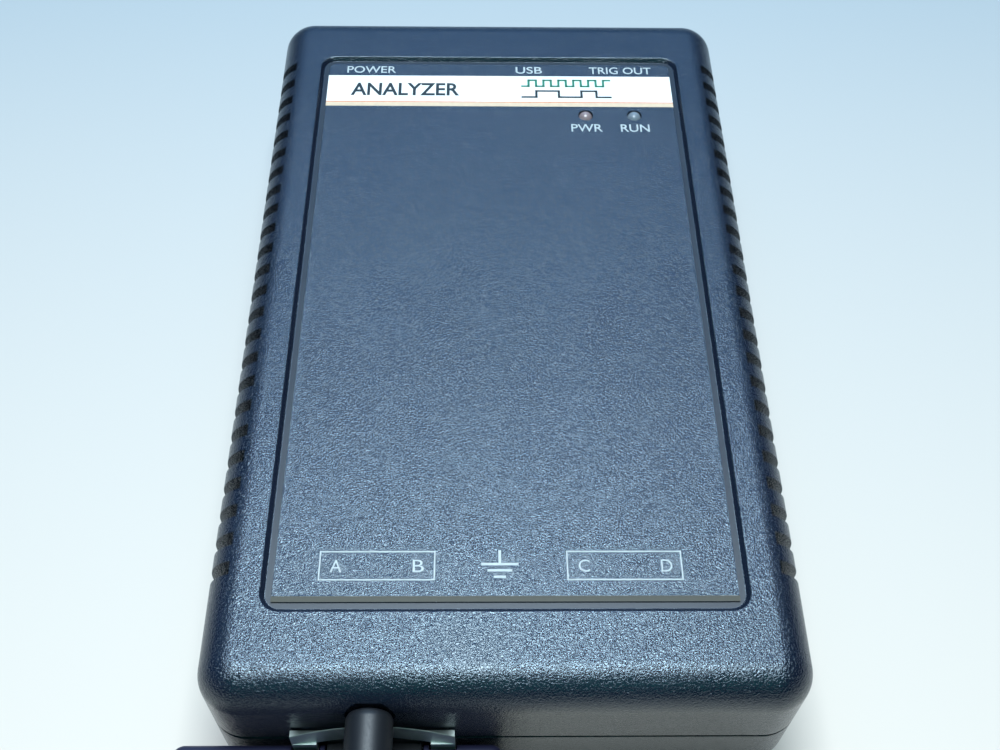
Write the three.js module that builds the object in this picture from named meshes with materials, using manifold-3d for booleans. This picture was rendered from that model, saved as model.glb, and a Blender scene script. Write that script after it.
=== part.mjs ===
// Hand-held bench logic analyzer with its probe pod plugged in.
// Millimetres, +Z up. The origin is the centre of the case's flat underside, the case is long
// along Y, and +Y points to the end with the power, USB and trigger connectors.
import * as THREE from 'three';
import { mergeVertices } from 'three/addons/utils/BufferGeometryUtils.js';
import Module from 'manifold-3d';

const wasm = await Module();
wasm.setup();

// ---- Driving dimensions ----

// Case
const caseWidth = 95;
const caseLength = 158;
const caseHeight = 33;
const cornerRound = 6.6;
const edgeRound = 6;
const wall = 2.5;
const floorThickness = 2.5;
const roofThickness = 3;
const partingHeight = caseHeight / 2;
const partingGroove = 0.5;
const lipHeight = 1.8;
const lipThickness = 1.2;
const lipGap = 0.3;
const cavityTop = caseHeight - roofThickness;
const topEdge = partingHeight + partingGroove / 2;
const bottomEdge = partingHeight - partingGroove / 2;

// Recess and label film
const labelWidth = 73.3;
const labelLength = 126.2;
const labelCorner = 1.5;
const labelThickness = 0.25;
const ledge = 1.15;
const recessDepth = 0.9;
const recessSlope = 0.6;

// Vent slots, a row in each long side
const ventCount = 24;
const ventPitch = 5.178;
const ventWidth = 2.35;
const ventMiddleY = 2.35;
const ventInnerX = 43.7;
const ventBottom = 21;

// Screws: shank and head radii, shank length under the head, head height
const caseScrew = { shank: 1.45, length: 16, head: 2.8, headHeight: 2 };
const boardScrew = { shank: 1.2, length: 5, head: 2.3, headHeight: 1.6 };
const podScrew = { shank: 1.1, length: 6.6, head: 2.1, headHeight: 1.6 };
const driverSlotWidth = 0.7;
const driverSlotDepth = 0.9;

// Screw posts that join the shells, and standoffs under the board
const postX = 39.8;
const postY = 70.8;
const lowerPostRadius = 4.4;
const lowerPostTop = 16.5;
const upperPostRadius = 3.5;
const upperPostBottom = 16.9;
const pilotRadius = 1.75;
const pilotTop = 25.5;
const counterboreRadius = 3.2;
const counterboreTop = 7.5;
const standoffX = 34;
const standoffY = 52;
const standoffRadius = 3;
const standoffHoleRadius = 1.5;

// Feet
const footX = 35;
const footY = 62;
const footRadius = 5;
const footDrop = 1.2;
const footInset = 0.8;
const footBevel = 0.6;

// Circuit board
const boardBottom = 8;
const boardThickness = 1.6;
const boardTop = boardBottom + boardThickness;
const boardWidth = 84;
const boardLength = 148;
const boardCorner = 2;
const postNotchRadius = 4.9;
const seat = boardTop + 0.3;
const capacitorRadius = 3.15;
const capacitorHeight = 7.7;

// Indicator lamps, 3 mm size
const lampY = 47.2;
const lampX = [17.97, 28.18];
const lampRadius = 1.5;
const lampFlangeRadius = 1.9;
const lampFlangeHeight = 1;
const lampBodyHeight = 4;
const lampLegX = 1.27;
const lampLegHalf = 0.25;

// Rear connectors, left to right, with their axes on the parting line
const connectorZ = partingHeight;
const rearFace = caseLength / 2 - 0.4;
const connectorMargin = 0.4;

const powerX = -27.5;
const powerWidth = 9;
const powerStart = 64.5;
const powerTop = 20.9;
const powerBoreRadius = 3.2;
const powerBoreStart = 68;
const powerPinRadius = 1;
const powerPinEnd = 77;

const usbX = 6.3;
const usbWidth = 12;
const usbStart = 62.5;
const usbTop = 20.8;
const usbShell = 1.6;
const usbMouthWidth = 8.4;
const usbMouthChamfer = 1.6;
const usbMouthDepth = 11;
const usbTongueWidth = 5.6;
const usbTongueY = [68.2, 76.6];
const usbTongueZ = [14, 17.2];

const triggerX = 26;
const triggerBlockWidth = 6.4;
const triggerBlockY = [67, 76];
const triggerBlockTop = 19.8;
const triggerBarrelRadius = 3.1;
const triggerBarrelEnd = 86;
const triggerBoreRadius = 2.3;
const triggerBoreStart = 77;
const triggerPinRadius = 0.6;
const triggerPinEnd = 83;
const triggerHoleRadius = 3.5;
const triggerWasherRadius = 4.7;
const triggerWasherY = [79.1, 80];
const triggerNutRadius = 4.6;
const triggerNutY = [80.1, 82.5];

// Probe port in the front wall, with the thumbscrew's threaded insert above it
const portX = -20.8;
const portWidth = 18.4;
const portBottom = 11.3;
const portMouth = -76.2;
const portBack = -65;
const portTop = 17.2;
const portShell = 1;
const portMouthTop = 16;
const portMouthEnd = -66.6;
const contactWidth = 13.8;
const contactZ = [13.4, 14.2];
const contactStart = -75;
const screwZ = 26.5;
const screwHoleRadius = 1.9;
const sleeveSeatRadius = 4.05;
const sleeveSeatDepth = 0.7;
const bossRadius = 4;
const bossLength = 6;
const insertRadius = 2.5;
const insertBoreRadius = 1.6;
const insertY = [-76.4, -71];

// Probe pod: its body stands off the plug's axis, towards the left
const podGap = 0.6;
const podMiddle = -5.8;
const podWidth = 52.6;
const podDepth = 34;
const podBottom = 2.2;
const podTop = 15.9;
const podSplit = 8.5;
const podWall = 1.8;
const podRound = 1.5;
const podCorner = 2;
const podScrewX = 21.6;
const podScrewY = -17;
const podScrewSeat = 2.4;
const podPostRadius = 3.2;
const podBoardWidth = 36;
const podBoardY = [-28, -4];
const podBoardZ = [6.4, 8];
const podChipX = 10;
const podChipY = -15;

// Plug, yoke, fork and thumbscrew
const plugWidth = 15;
const plugBottom = 11.9;
const plugTop = 15.7;
const plugY = [-6, 12.4];
const plugSlotStart = 4;
const plugSlotZ = [13, 14.6];
const yokeWidth = 25.6;
const yokeHeight = 4.6;
const yokeRise = 2.3;
const yokeY = [-0.8, 0.3];
const yokeLegWidth = 3.8;
const yokeLegBottom = 10;
const forkWidth = 12;
const forkY = [-12, -9];
const forkAboveScrew = 3.5;
const sleeveRadius = 3.65;
const sleeveEnd = 1;
const neckRadius = 2.6;
const knobRadius = 5.5;
const knobY = [-21, -12.3];
const knobBevel = 0.7;
const neckEnd = -8.7;
const screwTipRadius = 1.45;
const screwTipEnd = 8.4;

// Lead header
const headerPins = 18;
const headerPitch = 2.54;
const headerHalf = headerPins * headerPitch / 2;
const headerZ = [6, 11.3];
const headerDepth = 2.6;
const headerSetBack = 1.2;
const pinHalf = 0.32;
const pinRows = [7.38, 9.92];
const pinReach = 5.6;

// Clearances
const hairline = 0.05;
const gap = 0.3;

// Reaches past the whole object, for cutters that take everything on one side.
const far = 120;

// ---- Solids ----

function solid(geometry) {
  geometry.deleteAttribute('normal');
  geometry.deleteAttribute('uv');
  const merged = mergeVertices(geometry, 1e-4);
  return new wasm.Manifold(new wasm.Mesh({
    numProp: 3,
    vertProperties: new Float32Array(merged.attributes.position.array),
    triVerts: new Uint32Array(merged.index.array),
  }));
}

function box([x0, x1], [y0, y1], [z0, z1]) {
  const geometry = new THREE.BoxGeometry(x1 - x0, y1 - y0, z1 - z0);
  geometry.translate((x0 + x1) / 2, (y0 + y1) / 2, (z0 + z1) / 2);
  return solid(geometry);
}

// A round bar along axis 'x', 'y' or 'z', from a to b; p and q place it on the other two axes.
function rod(axis, radius, p, q, [a, b], sides = 14) {
  const geometry = new THREE.CylinderGeometry(radius, radius, b - a, sides);
  const middle = (a + b) / 2;
  if (axis === 'z') {
    geometry.rotateX(Math.PI / 2);
    geometry.translate(p, q, middle);
  } else if (axis === 'y') {
    geometry.translate(p, middle, q);
  } else {
    geometry.rotateZ(Math.PI / 2);
    geometry.translate(middle, p, q);
  }
  return solid(geometry);
}

function roundedRectangle(width, length, radius) {
  const x = width / 2 - radius;
  const y = length / 2 - radius;
  const shape = new THREE.Shape();
  shape.absarc(x, y, radius, 0, Math.PI / 2);
  shape.absarc(-x, y, radius, Math.PI / 2, Math.PI);
  shape.absarc(-x, -y, radius, Math.PI, 1.5 * Math.PI);
  shape.absarc(x, -y, radius, 1.5 * Math.PI, 2 * Math.PI);
  shape.closePath();
  return shape;
}

// An upright plate with rounded corners in plan.
function plate(width, length, radius, [z0, z1], arcSteps = 4) {
  const geometry = new THREE.ExtrudeGeometry(roundedRectangle(width, length, radius), {
    depth: z1 - z0, bevelEnabled: false, curveSegments: arcSteps,
  });
  geometry.translate(0, 0, z0);
  return solid(geometry);
}

// A plate whose upper and lower edges are rounded too.
function pillow(width, length, corner, edge, [z0, z1], arcSteps = 5, edgeSteps = 4) {
  const geometry = new THREE.ExtrudeGeometry(roundedRectangle(width, length, corner), {
    depth: z1 - z0 - 2 * edge,
    bevelThickness: edge,
    bevelSize: edge,
    bevelOffset: -edge,
    bevelSegments: edgeSteps,
    curveSegments: arcSteps,
  });
  geometry.translate(0, 0, z0 + edge);
  return solid(geometry);
}

// A turned solid about 'y' or 'z': the profile's points are [radius, height along the axis],
// and it starts and ends on the axis.
function turned(axis, profile, sides) {
  const points = profile.map(([radius, height]) => new THREE.Vector2(radius, height));
  const geometry = new THREE.LatheGeometry(points, sides);
  if (axis === 'z') {
    geometry.rotateX(Math.PI / 2);
  }
  return solid(geometry);
}

function joinAll(first, others) {
  return others.reduce((sum, other) => sum.add(other), first);
}

function cutAll(first, cutters) {
  return cutters.reduce((rest, cutter) => rest.subtract(cutter), first);
}

// ---- Scene graph ----

const group = new THREE.Group();

function finish(color, roughness, metalness = 0) {
  return () => new THREE.MeshStandardMaterial({ color, roughness, metalness });
}

const mouldedCase = finish('#1b2433', 0.55);
const labelFilm = finish('#2b3442', 0.6);
const blackPlastic = finish('#141518', 0.5);
const podPlastic = finish('#23232b', 0.5);
const whitePlastic = finish('#e6e4dc', 0.5);
const clearLens = finish('#b9b4b0', 0.2);
const rubber = finish('#17181a', 0.9);
const solderMask = finish('#1e5a34', 0.45);
const platedSteel = finish('#9aa09c', 0.35, 1);
const zincSteel = finish('#7f8682', 0.4, 1);
const brass = finish('#b08d4a', 0.35, 1);
const gold = finish('#c9a24e', 0.3, 1);

function place(parent, name, shape, makeMaterial, x = 0, y = 0, z = 0) {
  const cut = shape.getMesh();
  const geometry = new THREE.BufferGeometry();
  geometry.setAttribute('position', new THREE.BufferAttribute(cut.vertProperties, 3));
  geometry.setIndex(new THREE.BufferAttribute(cut.triVerts, 1));
  geometry.computeVertexNormals();
  const mesh = new THREE.Mesh(geometry, makeMaterial());
  mesh.name = name;
  mesh.position.set(x, y, z);
  parent.add(mesh);
}

function atCorners(x, y) {
  return [[-x, -y], [x, -y], [-x, y], [x, y]];
}

// The span of a width about a middle, and of a strip of a given width along one side's outer edge.
function about(middle, width) {
  return [middle - width / 2, middle + width / 2];
}

function sideStrip(side, outer, width) {
  return side > 0 ? [outer - width, outer] : [-outer, width - outer];
}

// ---- Case ----

function caseBody() {
  return pillow(caseWidth, caseLength, cornerRound, edgeRound, [0, caseHeight]);
}

function caseCavity() {
  const inner = [floorThickness, cavityTop];
  const width = caseWidth - 2 * wall;
  const length = caseLength - 2 * wall;
  return pillow(width, length, cornerRound - wall, edgeRound - wall, inner, 3, 2);
}

// Openings that cross the parting line or lie in one end wall.
function endWallCutters() {
  const reach = wall + 4;
  const endWall = [caseLength / 2 - reach, caseLength / 2 + 1];
  const frontWall = [-caseLength / 2 - 1, -caseLength / 2 + reach];
  const bottom = seat - connectorMargin;
  return {
    power: box(about(powerX, powerWidth + 2 * connectorMargin), endWall,
      [bottom, powerTop + connectorMargin]),
    usb: box(about(usbX, usbWidth + 2 * connectorMargin), endWall,
      [bottom, usbTop + connectorMargin]),
    trigger: rod('y', triggerHoleRadius, triggerX, connectorZ, endWall),
    port: box(about(portX, portWidth), frontWall, [portBottom, partingHeight]),
  };
}

function ventCutters() {
  const cutters = [];
  for (let i = 0; i < ventCount; i += 1) {
    const y = ventMiddleY + (i - (ventCount - 1) / 2) * ventPitch;
    for (const side of [-1, 1]) {
      const across = sideStrip(side, caseWidth / 2 + 1, caseWidth / 2 + 1 - ventInnerX);
      cutters.push(box(across, about(y, ventWidth), [ventBottom, caseHeight + 1]));
    }
  }
  return cutters;
}

// The sunk field that holds the label, with a sloping wall all round.
function recessCutter() {
  const width = labelWidth + 2 * ledge;
  const length = labelLength + 2 * ledge;
  const geometry = new THREE.ExtrudeGeometry(roundedRectangle(width, length, labelCorner + ledge), {
    depth: 1,
    bevelThickness: recessDepth,
    bevelSize: recessSlope,
    bevelSegments: 1,
    curveSegments: 5,
  });
  geometry.translate(0, 0, caseHeight);
  return solid(geometry);
}

// The boss inside the front wall that takes the thumbscrew's threaded insert, and the shallow
// seat outside that takes the end of its sleeve.
function insertBoss() {
  const wallInside = -caseLength / 2 + wall;
  return {
    boss: rod('y', bossRadius, portX, screwZ - 0.4, [wallInside - 0.5, wallInside + bossLength]),
    pocket: rod('y', insertRadius + 0.1, portX, screwZ, [wallInside, wallInside + bossLength + 1]),
    hole: rod('y', screwHoleRadius, portX, screwZ, [-caseLength / 2 - 1, wallInside + 1]),
    sleeveSeat: rod('y', sleeveSeatRadius, portX, screwZ,
      [-caseLength / 2 - 1, -caseLength / 2 + sleeveSeatDepth]),
  };
}

function topShell() {
  const under = box([-far, far], [-far, far], [-far, topEdge]);
  const rebateInset = wall - lipThickness - lipGap;
  const rebate = plate(caseWidth - 2 * rebateInset, caseLength - 2 * rebateInset,
    cornerRound - rebateInset, [partingHeight - 1, topEdge + lipHeight + lipGap]);
  const ends = endWallCutters();
  const { boss, pocket, hole, sleeveSeat } = insertBoss();
  const posts = atCorners(postX, postY)
    .map(([x, y]) => rod('z', upperPostRadius, x, y, [upperPostBottom, cavityTop + 0.5]));
  const pilots = atCorners(postX, postY)
    .map(([x, y]) => rod('z', pilotRadius, x, y, [partingHeight - 0.5, pilotTop], 12));
  const lampHoles = lampX
    .map((x) => rod('z', lampRadius + 0.25, x, lampY, [cavityTop - 1, caseHeight]));
  const hollow = caseBody().subtract(caseCavity());
  const joined = joinAll(hollow, [...posts, boss]);
  return cutAll(joined, [
    under, rebate, recessCutter(), pocket, hole, sleeveSeat, ends.power, ends.usb, ends.trigger,
    ...pilots, ...lampHoles, ...ventCutters(),
  ]);
}

function bottomShell() {
  const above = box([-far, far], [-far, far], [bottomEdge, far]);
  const lipInset = wall - lipThickness;
  const lip = plate(caseWidth - 2 * lipInset, caseLength - 2 * lipInset, cornerRound - lipInset,
    [partingHeight - 1, topEdge + lipHeight])
    .subtract(plate(caseWidth - 2 * wall, caseLength - 2 * wall, cornerRound - wall, [0, caseHeight]));
  const ends = endWallCutters();
  const corners = atCorners(postX, postY);
  const postFoot = floorThickness - 0.5;
  const posts = corners.map(([x, y]) => rod('z', lowerPostRadius, x, y, [postFoot, lowerPostTop]));
  const counterbores = corners
    .map(([x, y]) => rod('z', counterboreRadius, x, y, [-1, counterboreTop]));
  const clearances = corners
    .map(([x, y]) => rod('z', pilotRadius, x, y, [counterboreTop - 0.5, caseHeight], 12));
  const standoffs = atCorners(standoffX, standoffY)
    .map(([x, y]) => rod('z', standoffRadius, x, y, [postFoot, boardBottom - gap], 12));
  const standoffHoles = atCorners(standoffX, standoffY)
    .map(([x, y]) => rod('z', standoffHoleRadius, x, y, [floorThickness + 0.5, boardBottom], 10));
  const footPockets = atCorners(footX, footY)
    .map(([x, y]) => rod('z', footRadius + 0.2, x, y, [-1, footInset + hairline], 16));
  const hollow = caseBody().subtract(above).subtract(caseCavity());
  const joined = joinAll(hollow, [lip, ...posts, ...standoffs]);
  return cutAll(joined, [
    ends.power, ends.usb, ends.trigger, ends.port,
    ...counterbores, ...clearances, ...standoffHoles, ...footPockets,
  ]);
}

function labelPiece() {
  const bottom = caseHeight - recessDepth + hairline;
  const film = plate(labelWidth, labelLength, labelCorner, [bottom, bottom + labelThickness]);
  const through = [cavityTop, caseHeight + 1];
  return cutAll(film, lampX.map((x) => rod('z', lampRadius + 0.2, x, lampY, through)));
}

place(group, 'top_shell', topShell(), mouldedCase);
place(group, 'bottom_shell', bottomShell(), mouldedCase);
place(group, 'panel_label', labelPiece(), labelFilm);

// ---- Feet and case screws ----

function foot() {
  return turned('z', [
    [0, -footDrop], [footRadius - footBevel, -footDrop], [footRadius, -footDrop + footBevel],
    [footRadius, footInset], [0, footInset],
  ], 16);
}

// A slotted pan-head screw standing head down; the head's underside is at z = 0.
function screw({ shank, length, head, headHeight }) {
  const body = turned('z', [
    [0, -headHeight], [head - 0.3, -headHeight], [head, -headHeight + 0.5],
    [head, 0], [shank, 0], [shank, length - 0.8], [shank - 0.6, length], [0, length],
  ], 10);
  const slot = [-headHeight - 1, -headHeight + driverSlotDepth];
  return body.subtract(box(about(0, 1.2 * head), about(0, driverSlotWidth), slot));
}

atCorners(footX, footY).forEach(([x, y], i) => {
  place(group, `foot_${i + 1}`, foot(), rubber, x, y);
});
atCorners(postX, postY).forEach(([x, y], i) => {
  place(group, `case_screw_${i + 1}`, screw(caseScrew), platedSteel, x, y, counterboreTop - hairline);
});

// ---- Circuit board and what stands on it ----

function mainBoard() {
  const blank = plate(boardWidth, boardLength, boardCorner, [boardBottom, boardTop], 2);
  const through = [0, caseHeight];
  const notches = atCorners(postX, postY).map(([x, y]) => rod('z', postNotchRadius, x, y, through));
  const holes = atCorners(standoffX, standoffY)
    .map(([x, y]) => rod('z', standoffHoleRadius + 0.1, x, y, through, 12));
  return cutAll(blank, [...notches, ...holes]);
}

// A chip package with chamfered edges, standing on the board.
function chip(width, length, height) {
  const edge = Math.min(0.3, height / 4);
  return pillow(width, length, 0.6, edge, [0, height], 1, 1);
}

function lamp() {
  const profile = [
    [0, 0], [lampFlangeRadius, 0], [lampFlangeRadius, lampFlangeHeight],
    [lampRadius, lampFlangeHeight], [lampRadius, lampBodyHeight],
  ];
  const domeSteps = 3;
  for (let i = 1; i <= domeSteps; i += 1) {
    const angle = (i / domeSteps) * Math.PI / 2;
    const radius = i < domeSteps ? lampRadius * Math.cos(angle) : 0;
    profile.push([radius, lampBodyHeight + lampRadius * Math.sin(angle)]);
  }
  return turned('z', profile, 12);
}

function lampWithLegs() {
  const top = caseHeight - hairline;
  const flange = top - lampBodyHeight - lampRadius;
  const legs = [-lampLegX, lampLegX].map((x) => box(
    about(x, 2 * lampLegHalf), about(0, 2 * lampLegHalf), [seat, flange + 0.3]));
  return joinAll(lamp().translate([0, 0, flange]), legs);
}

function electrolytic(radius, height) {
  return turned('z', [
    [0, 0], [radius, 0], [radius, height - 0.6], [radius - 0.6, height], [0, height],
  ], 12);
}

place(group, 'main_board', mainBoard(), solderMask);
place(group, 'pwr_led', lampWithLegs(), clearLens, lampX[0], lampY);
place(group, 'run_led', lampWithLegs(), clearLens, lampX[1], lampY);

atCorners(standoffX, standoffY).forEach(([x, y], i) => {
  const pan = screw(boardScrew).rotate([180, 0, 0]);
  place(group, `board_screw_${i + 1}`, pan, platedSteel, x, y, boardTop + hairline);
});

// Name, width, length, height, and the middle's place on the board
const chips = [
  ['logic_chip', 28, 28, 2.4, 2, 4],
  ['memory_chip_1', 10.2, 22.2, 1.1, -24, 14],
  ['memory_chip_2', 10.2, 22.2, 1.1, -24, -14],
  ['usb_chip', 12, 12, 1.4, 6, 40],
  ['port_buffer_1', 6.2, 12.5, 1.2, -27, -48],
  ['port_buffer_2', 6.2, 12.5, 1.2, -14, -48],
  ['regulator', 10, 9, 4.4, -27, 38],
  ['crystal', 11.4, 4.8, 3.6, 24, 24],
];
for (const [name, width, length, height, x, y] of chips) {
  place(group, name, chip(width, length, height), blackPlastic, x, y, seat);
}
[[-14, 52], [-14, 62]].forEach(([x, y], i) => {
  const can = electrolytic(capacitorRadius, capacitorHeight);
  place(group, `capacitor_${i + 1}`, can, platedSteel, x, y, seat);
});

// ---- Rear connectors ----

function powerJack() {
  const body = box(about(powerX, powerWidth), [powerStart, rearFace], [seat, powerTop]);
  const bore = rod('y', powerBoreRadius, powerX, connectorZ, [powerBoreStart, caseLength / 2 + 1]);
  return body.subtract(bore);
}

function powerPin() {
  return rod('y', powerPinRadius, powerX, connectorZ, [powerBoreStart + hairline, powerPinEnd], 12);
}

// A type-B socket: a square shell whose mouth has its two upper corners cut off.
function usbSocket() {
  const shell = box(about(usbX, usbWidth), [usbStart, rearFace], [seat, usbTop]);
  const bottom = seat + usbShell;
  const top = usbTop - usbShell;
  const half = usbMouthWidth / 2;
  const hollow = new THREE.Shape();
  hollow.moveTo(-half, bottom);
  hollow.lineTo(half, bottom);
  hollow.lineTo(half, top - usbMouthChamfer);
  hollow.lineTo(half - usbMouthChamfer, top);
  hollow.lineTo(usbMouthChamfer - half, top);
  hollow.lineTo(-half, top - usbMouthChamfer);
  hollow.closePath();
  const cutter = new THREE.ExtrudeGeometry(hollow, { depth: usbMouthDepth + 1, bevelEnabled: false });
  cutter.rotateX(Math.PI / 2);
  cutter.translate(usbX, rearFace + 1, 0);
  return shell.subtract(solid(cutter));
}

function triggerSocket() {
  const block = box(about(triggerX, triggerBlockWidth), triggerBlockY, [seat, triggerBlockTop]);
  const barrel = rod('y', triggerBarrelRadius, triggerX, connectorZ,
    [triggerBlockY[1] - 0.5, triggerBarrelEnd]);
  const bore = rod('y', triggerBoreRadius, triggerX, connectorZ,
    [triggerBoreStart, triggerBarrelEnd + 1]);
  return block.add(barrel).subtract(bore);
}

function triggerNut() {
  const [start, end] = triggerNutY;
  const bore = rod('y', triggerBarrelRadius + hairline, triggerX, connectorZ, [start - 1, end + 1]);
  return rod('y', triggerNutRadius, triggerX, connectorZ, triggerNutY, 6).subtract(bore);
}

function triggerWasher() {
  const [start, end] = triggerWasherY;
  const bore = rod('y', triggerBarrelRadius + gap, triggerX, connectorZ, [start - 1, end + 1]);
  return rod('y', triggerWasherRadius, triggerX, connectorZ, triggerWasherY, 16).subtract(bore);
}

function triggerContact() {
  const insulator = rod('y', triggerBoreRadius - hairline, triggerX, connectorZ,
    [triggerBoreStart + hairline, triggerBoreStart + 2]);
  const pin = rod('y', triggerPinRadius, triggerX, connectorZ,
    [triggerBoreStart + 1, triggerPinEnd], 10);
  return insulator.add(pin);
}

place(group, 'power_jack', powerJack(), blackPlastic);
place(group, 'power_jack_pin', powerPin(), platedSteel);
place(group, 'usb_socket', usbSocket(), platedSteel);
place(group, 'usb_tongue', box(about(usbX, usbTongueWidth), usbTongueY, usbTongueZ), whitePlastic);
place(group, 'trig_socket', triggerSocket(), gold);
place(group, 'trig_washer', triggerWasher(), gold);
place(group, 'trig_nut', triggerNut(), gold);
place(group, 'trig_contact', triggerContact(), whitePlastic);

// ---- Probe port ----

function probeSocket() {
  const width = portWidth - 2 * gap;
  const body = box(about(portX, width), [portMouth, portBack], [seat, portTop]);
  const mouth = box(about(portX, width - 2 * portShell), [portMouth - 1, portMouthEnd],
    [portBottom + gap, portMouthTop]);
  return body.subtract(mouth);
}

function probeContacts() {
  return box(about(portX, contactWidth), [contactStart, portMouthEnd - hairline], contactZ);
}

function screwInsert() {
  const [start, end] = insertY;
  const bore = rod('y', insertBoreRadius, portX, screwZ, [start - 1, end + 1], 16);
  return rod('y', insertRadius, portX, screwZ, insertY).subtract(bore);
}

place(group, 'probe_socket', probeSocket(), blackPlastic);
place(group, 'probe_contacts', probeContacts(), gold);
place(group, 'screw_insert', screwInsert(), brass);

// ---- Probe pod ----
// Its group's origin is on the plug's axis, at the pod's rear edge and the underside's height.

const pod = new THREE.Group();
pod.position.set(portX, -caseLength / 2 - podGap, 0);
group.add(pod);

function podBlock(inset, heights) {
  const round = Math.max(podRound - inset, 0.3);
  const corner = Math.max(podCorner - inset, 0.5);
  return pillow(podWidth - 2 * inset, podDepth - 2 * inset, corner, round, heights, 2, 2)
    .translate([podMiddle, -podDepth / 2, 0]);
}

function podHollow() {
  return podBlock(podWall, [podBottom + podWall, podTop - podWall]);
}

function podScrewPlaces() {
  return [podMiddle - podScrewX, podMiddle + podScrewX];
}

// The upright fork that carries the thumbscrew by its neck, in a slot that is open at the top.
function fork() {
  const [start, end] = forkY;
  const through = [start - 1, end + 1];
  const upright = box(about(0, forkWidth), forkY, [podTop - 1, screwZ + forkAboveScrew]);
  const seatRadius = neckRadius + gap;
  const slot = box(about(0, 2 * seatRadius), through, [screwZ, screwZ + forkAboveScrew + 1]);
  return upright.subtract(slot).subtract(rod('y', seatRadius, 0, screwZ, through, 16));
}

function yokeCutters() {
  return [-1, 1].map((side) => {
    const across = sideStrip(side, yokeWidth / 2 + gap, yokeLegWidth + 0.4 + gap);
    return box(across, [yokeY[0] - gap, 2], [yokeLegBottom - gap, podTop + 1]);
  });
}

// The opening in the pod's near end that the lead header looks out of.
function headerWindow(bottom) {
  const across = about(podMiddle, 2 * (headerHalf + gap));
  const behindHeader = -podDepth + headerSetBack + headerDepth + 0.2;
  return box(across, [-podDepth - 1, behindHeader], [bottom, headerZ[1] + gap]);
}

function podTopCover() {
  const below = box([-far, far], [-far, far], [-far, podSplit]);
  const cover = podBlock(0, [podBottom, podTop]).subtract(below).subtract(podHollow());
  const posts = podScrewPlaces()
    .map((x) => rod('z', 2.6, x, podScrewY, [podSplit + 0.4, podTop - 1], 14));
  const pilots = podScrewPlaces().map((x) => rod('z', 1.4, x, podScrewY, [0, podTop - 2], 10));
  const plugNotch = box(about(0, plugWidth + 2 * gap), [plugY[0] - gap, 2],
    [plugBottom - gap, podTop + 1]);
  return cutAll(joinAll(cover, [...posts, fork()]), [
    ...pilots, ...yokeCutters(), plugNotch, headerWindow(headerZ[0] - 1),
  ]);
}

function podBottomCover() {
  const above = box([-far, far], [-far, far], [podSplit - gap, far]);
  const cover = podBlock(0, [podBottom, podTop]).subtract(above).subtract(podHollow());
  const posts = podScrewPlaces()
    .map((x) => rod('z', podPostRadius, x, podScrewY, [podBottom + 1, podSplit - gap], 14));
  const counterbores = podScrewPlaces()
    .map((x) => rod('z', 2.4, x, podScrewY, [0, podBottom + podScrewSeat], 14));
  const holes = podScrewPlaces().map((x) => rod('z', 1.5, x, podScrewY, [0, caseHeight], 10));
  return cutAll(joinAll(cover, posts), [...counterbores, ...holes, headerWindow(headerZ[0] - gap)]);
}

function podPlug() {
  const [start, end] = plugY;
  const body = box(about(0, plugWidth), plugY, [plugBottom, plugTop]);
  return body.subtract(box(about(0, plugWidth - 2 * gap), [plugSlotStart, end + 1], plugSlotZ));
}

// A sheet-metal yoke: an arched strip on two legs, with a saddle under the thumbscrew's sleeve.
function podYoke() {
  const half = yokeWidth / 2;
  const sweep = 2 * Math.atan(yokeRise / half);
  const radius = half / Math.sin(sweep);
  const foot = podTop + hairline;
  const up = Math.PI / 2;
  const strip = new THREE.Shape();
  strip.absarc(0, foot + yokeRise - radius, radius, up + sweep, up - sweep, true);
  strip.lineTo(half, foot + yokeHeight);
  strip.absarc(0, foot + yokeHeight + yokeRise - radius, radius, up - sweep, up + sweep, false);
  strip.closePath();
  const [near, rear] = yokeY;
  const geometry = new THREE.ExtrudeGeometry(strip, {
    depth: rear - near, bevelEnabled: false, curveSegments: 8,
  });
  geometry.rotateX(Math.PI / 2);
  geometry.translate(0, rear, 0);
  const legs = [-1, 1]
    .map((side) => box(sideStrip(side, half, yokeLegWidth), yokeY, [yokeLegBottom, foot + 1.4]));
  const saddle = rod('y', sleeveRadius + gap, 0, screwZ, [near - 2, rear + 2], 20);
  return joinAll(solid(geometry), legs).subtract(saddle);
}

function thumbscrew() {
  const [knobStart, knobEnd] = knobY;
  const profile = [
    [0, knobStart], [knobRadius - knobBevel, knobStart], [knobRadius, knobStart + knobBevel],
    [knobRadius, knobEnd - knobBevel], [knobRadius - knobBevel, knobEnd],
    [neckRadius, knobEnd], [neckRadius, neckEnd], [sleeveRadius, neckEnd],
    [sleeveRadius, sleeveEnd - 0.4], [sleeveRadius - 0.4, sleeveEnd], [screwTipRadius, sleeveEnd],
    [screwTipRadius, screwTipEnd - 0.6],
    [screwTipRadius - 0.55, screwTipEnd], [0, screwTipEnd],
  ];
  return turned('y', profile, 16);
}

function leadHeader() {
  const front = -podDepth + headerSetBack;
  const strip = box(about(0, 2 * headerHalf), [front, front + headerDepth], headerZ);
  const pins = [];
  for (let i = 0; i < headerPins; i += 1) {
    const x = (i - (headerPins - 1) / 2) * headerPitch;
    for (const z of pinRows) {
      const along = [-podDepth - pinReach, -podDepth + 2];
      pins.push(box(about(x, 2 * pinHalf), along, about(z, 2 * pinHalf)));
    }
  }
  return joinAll(strip, pins);
}

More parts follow.
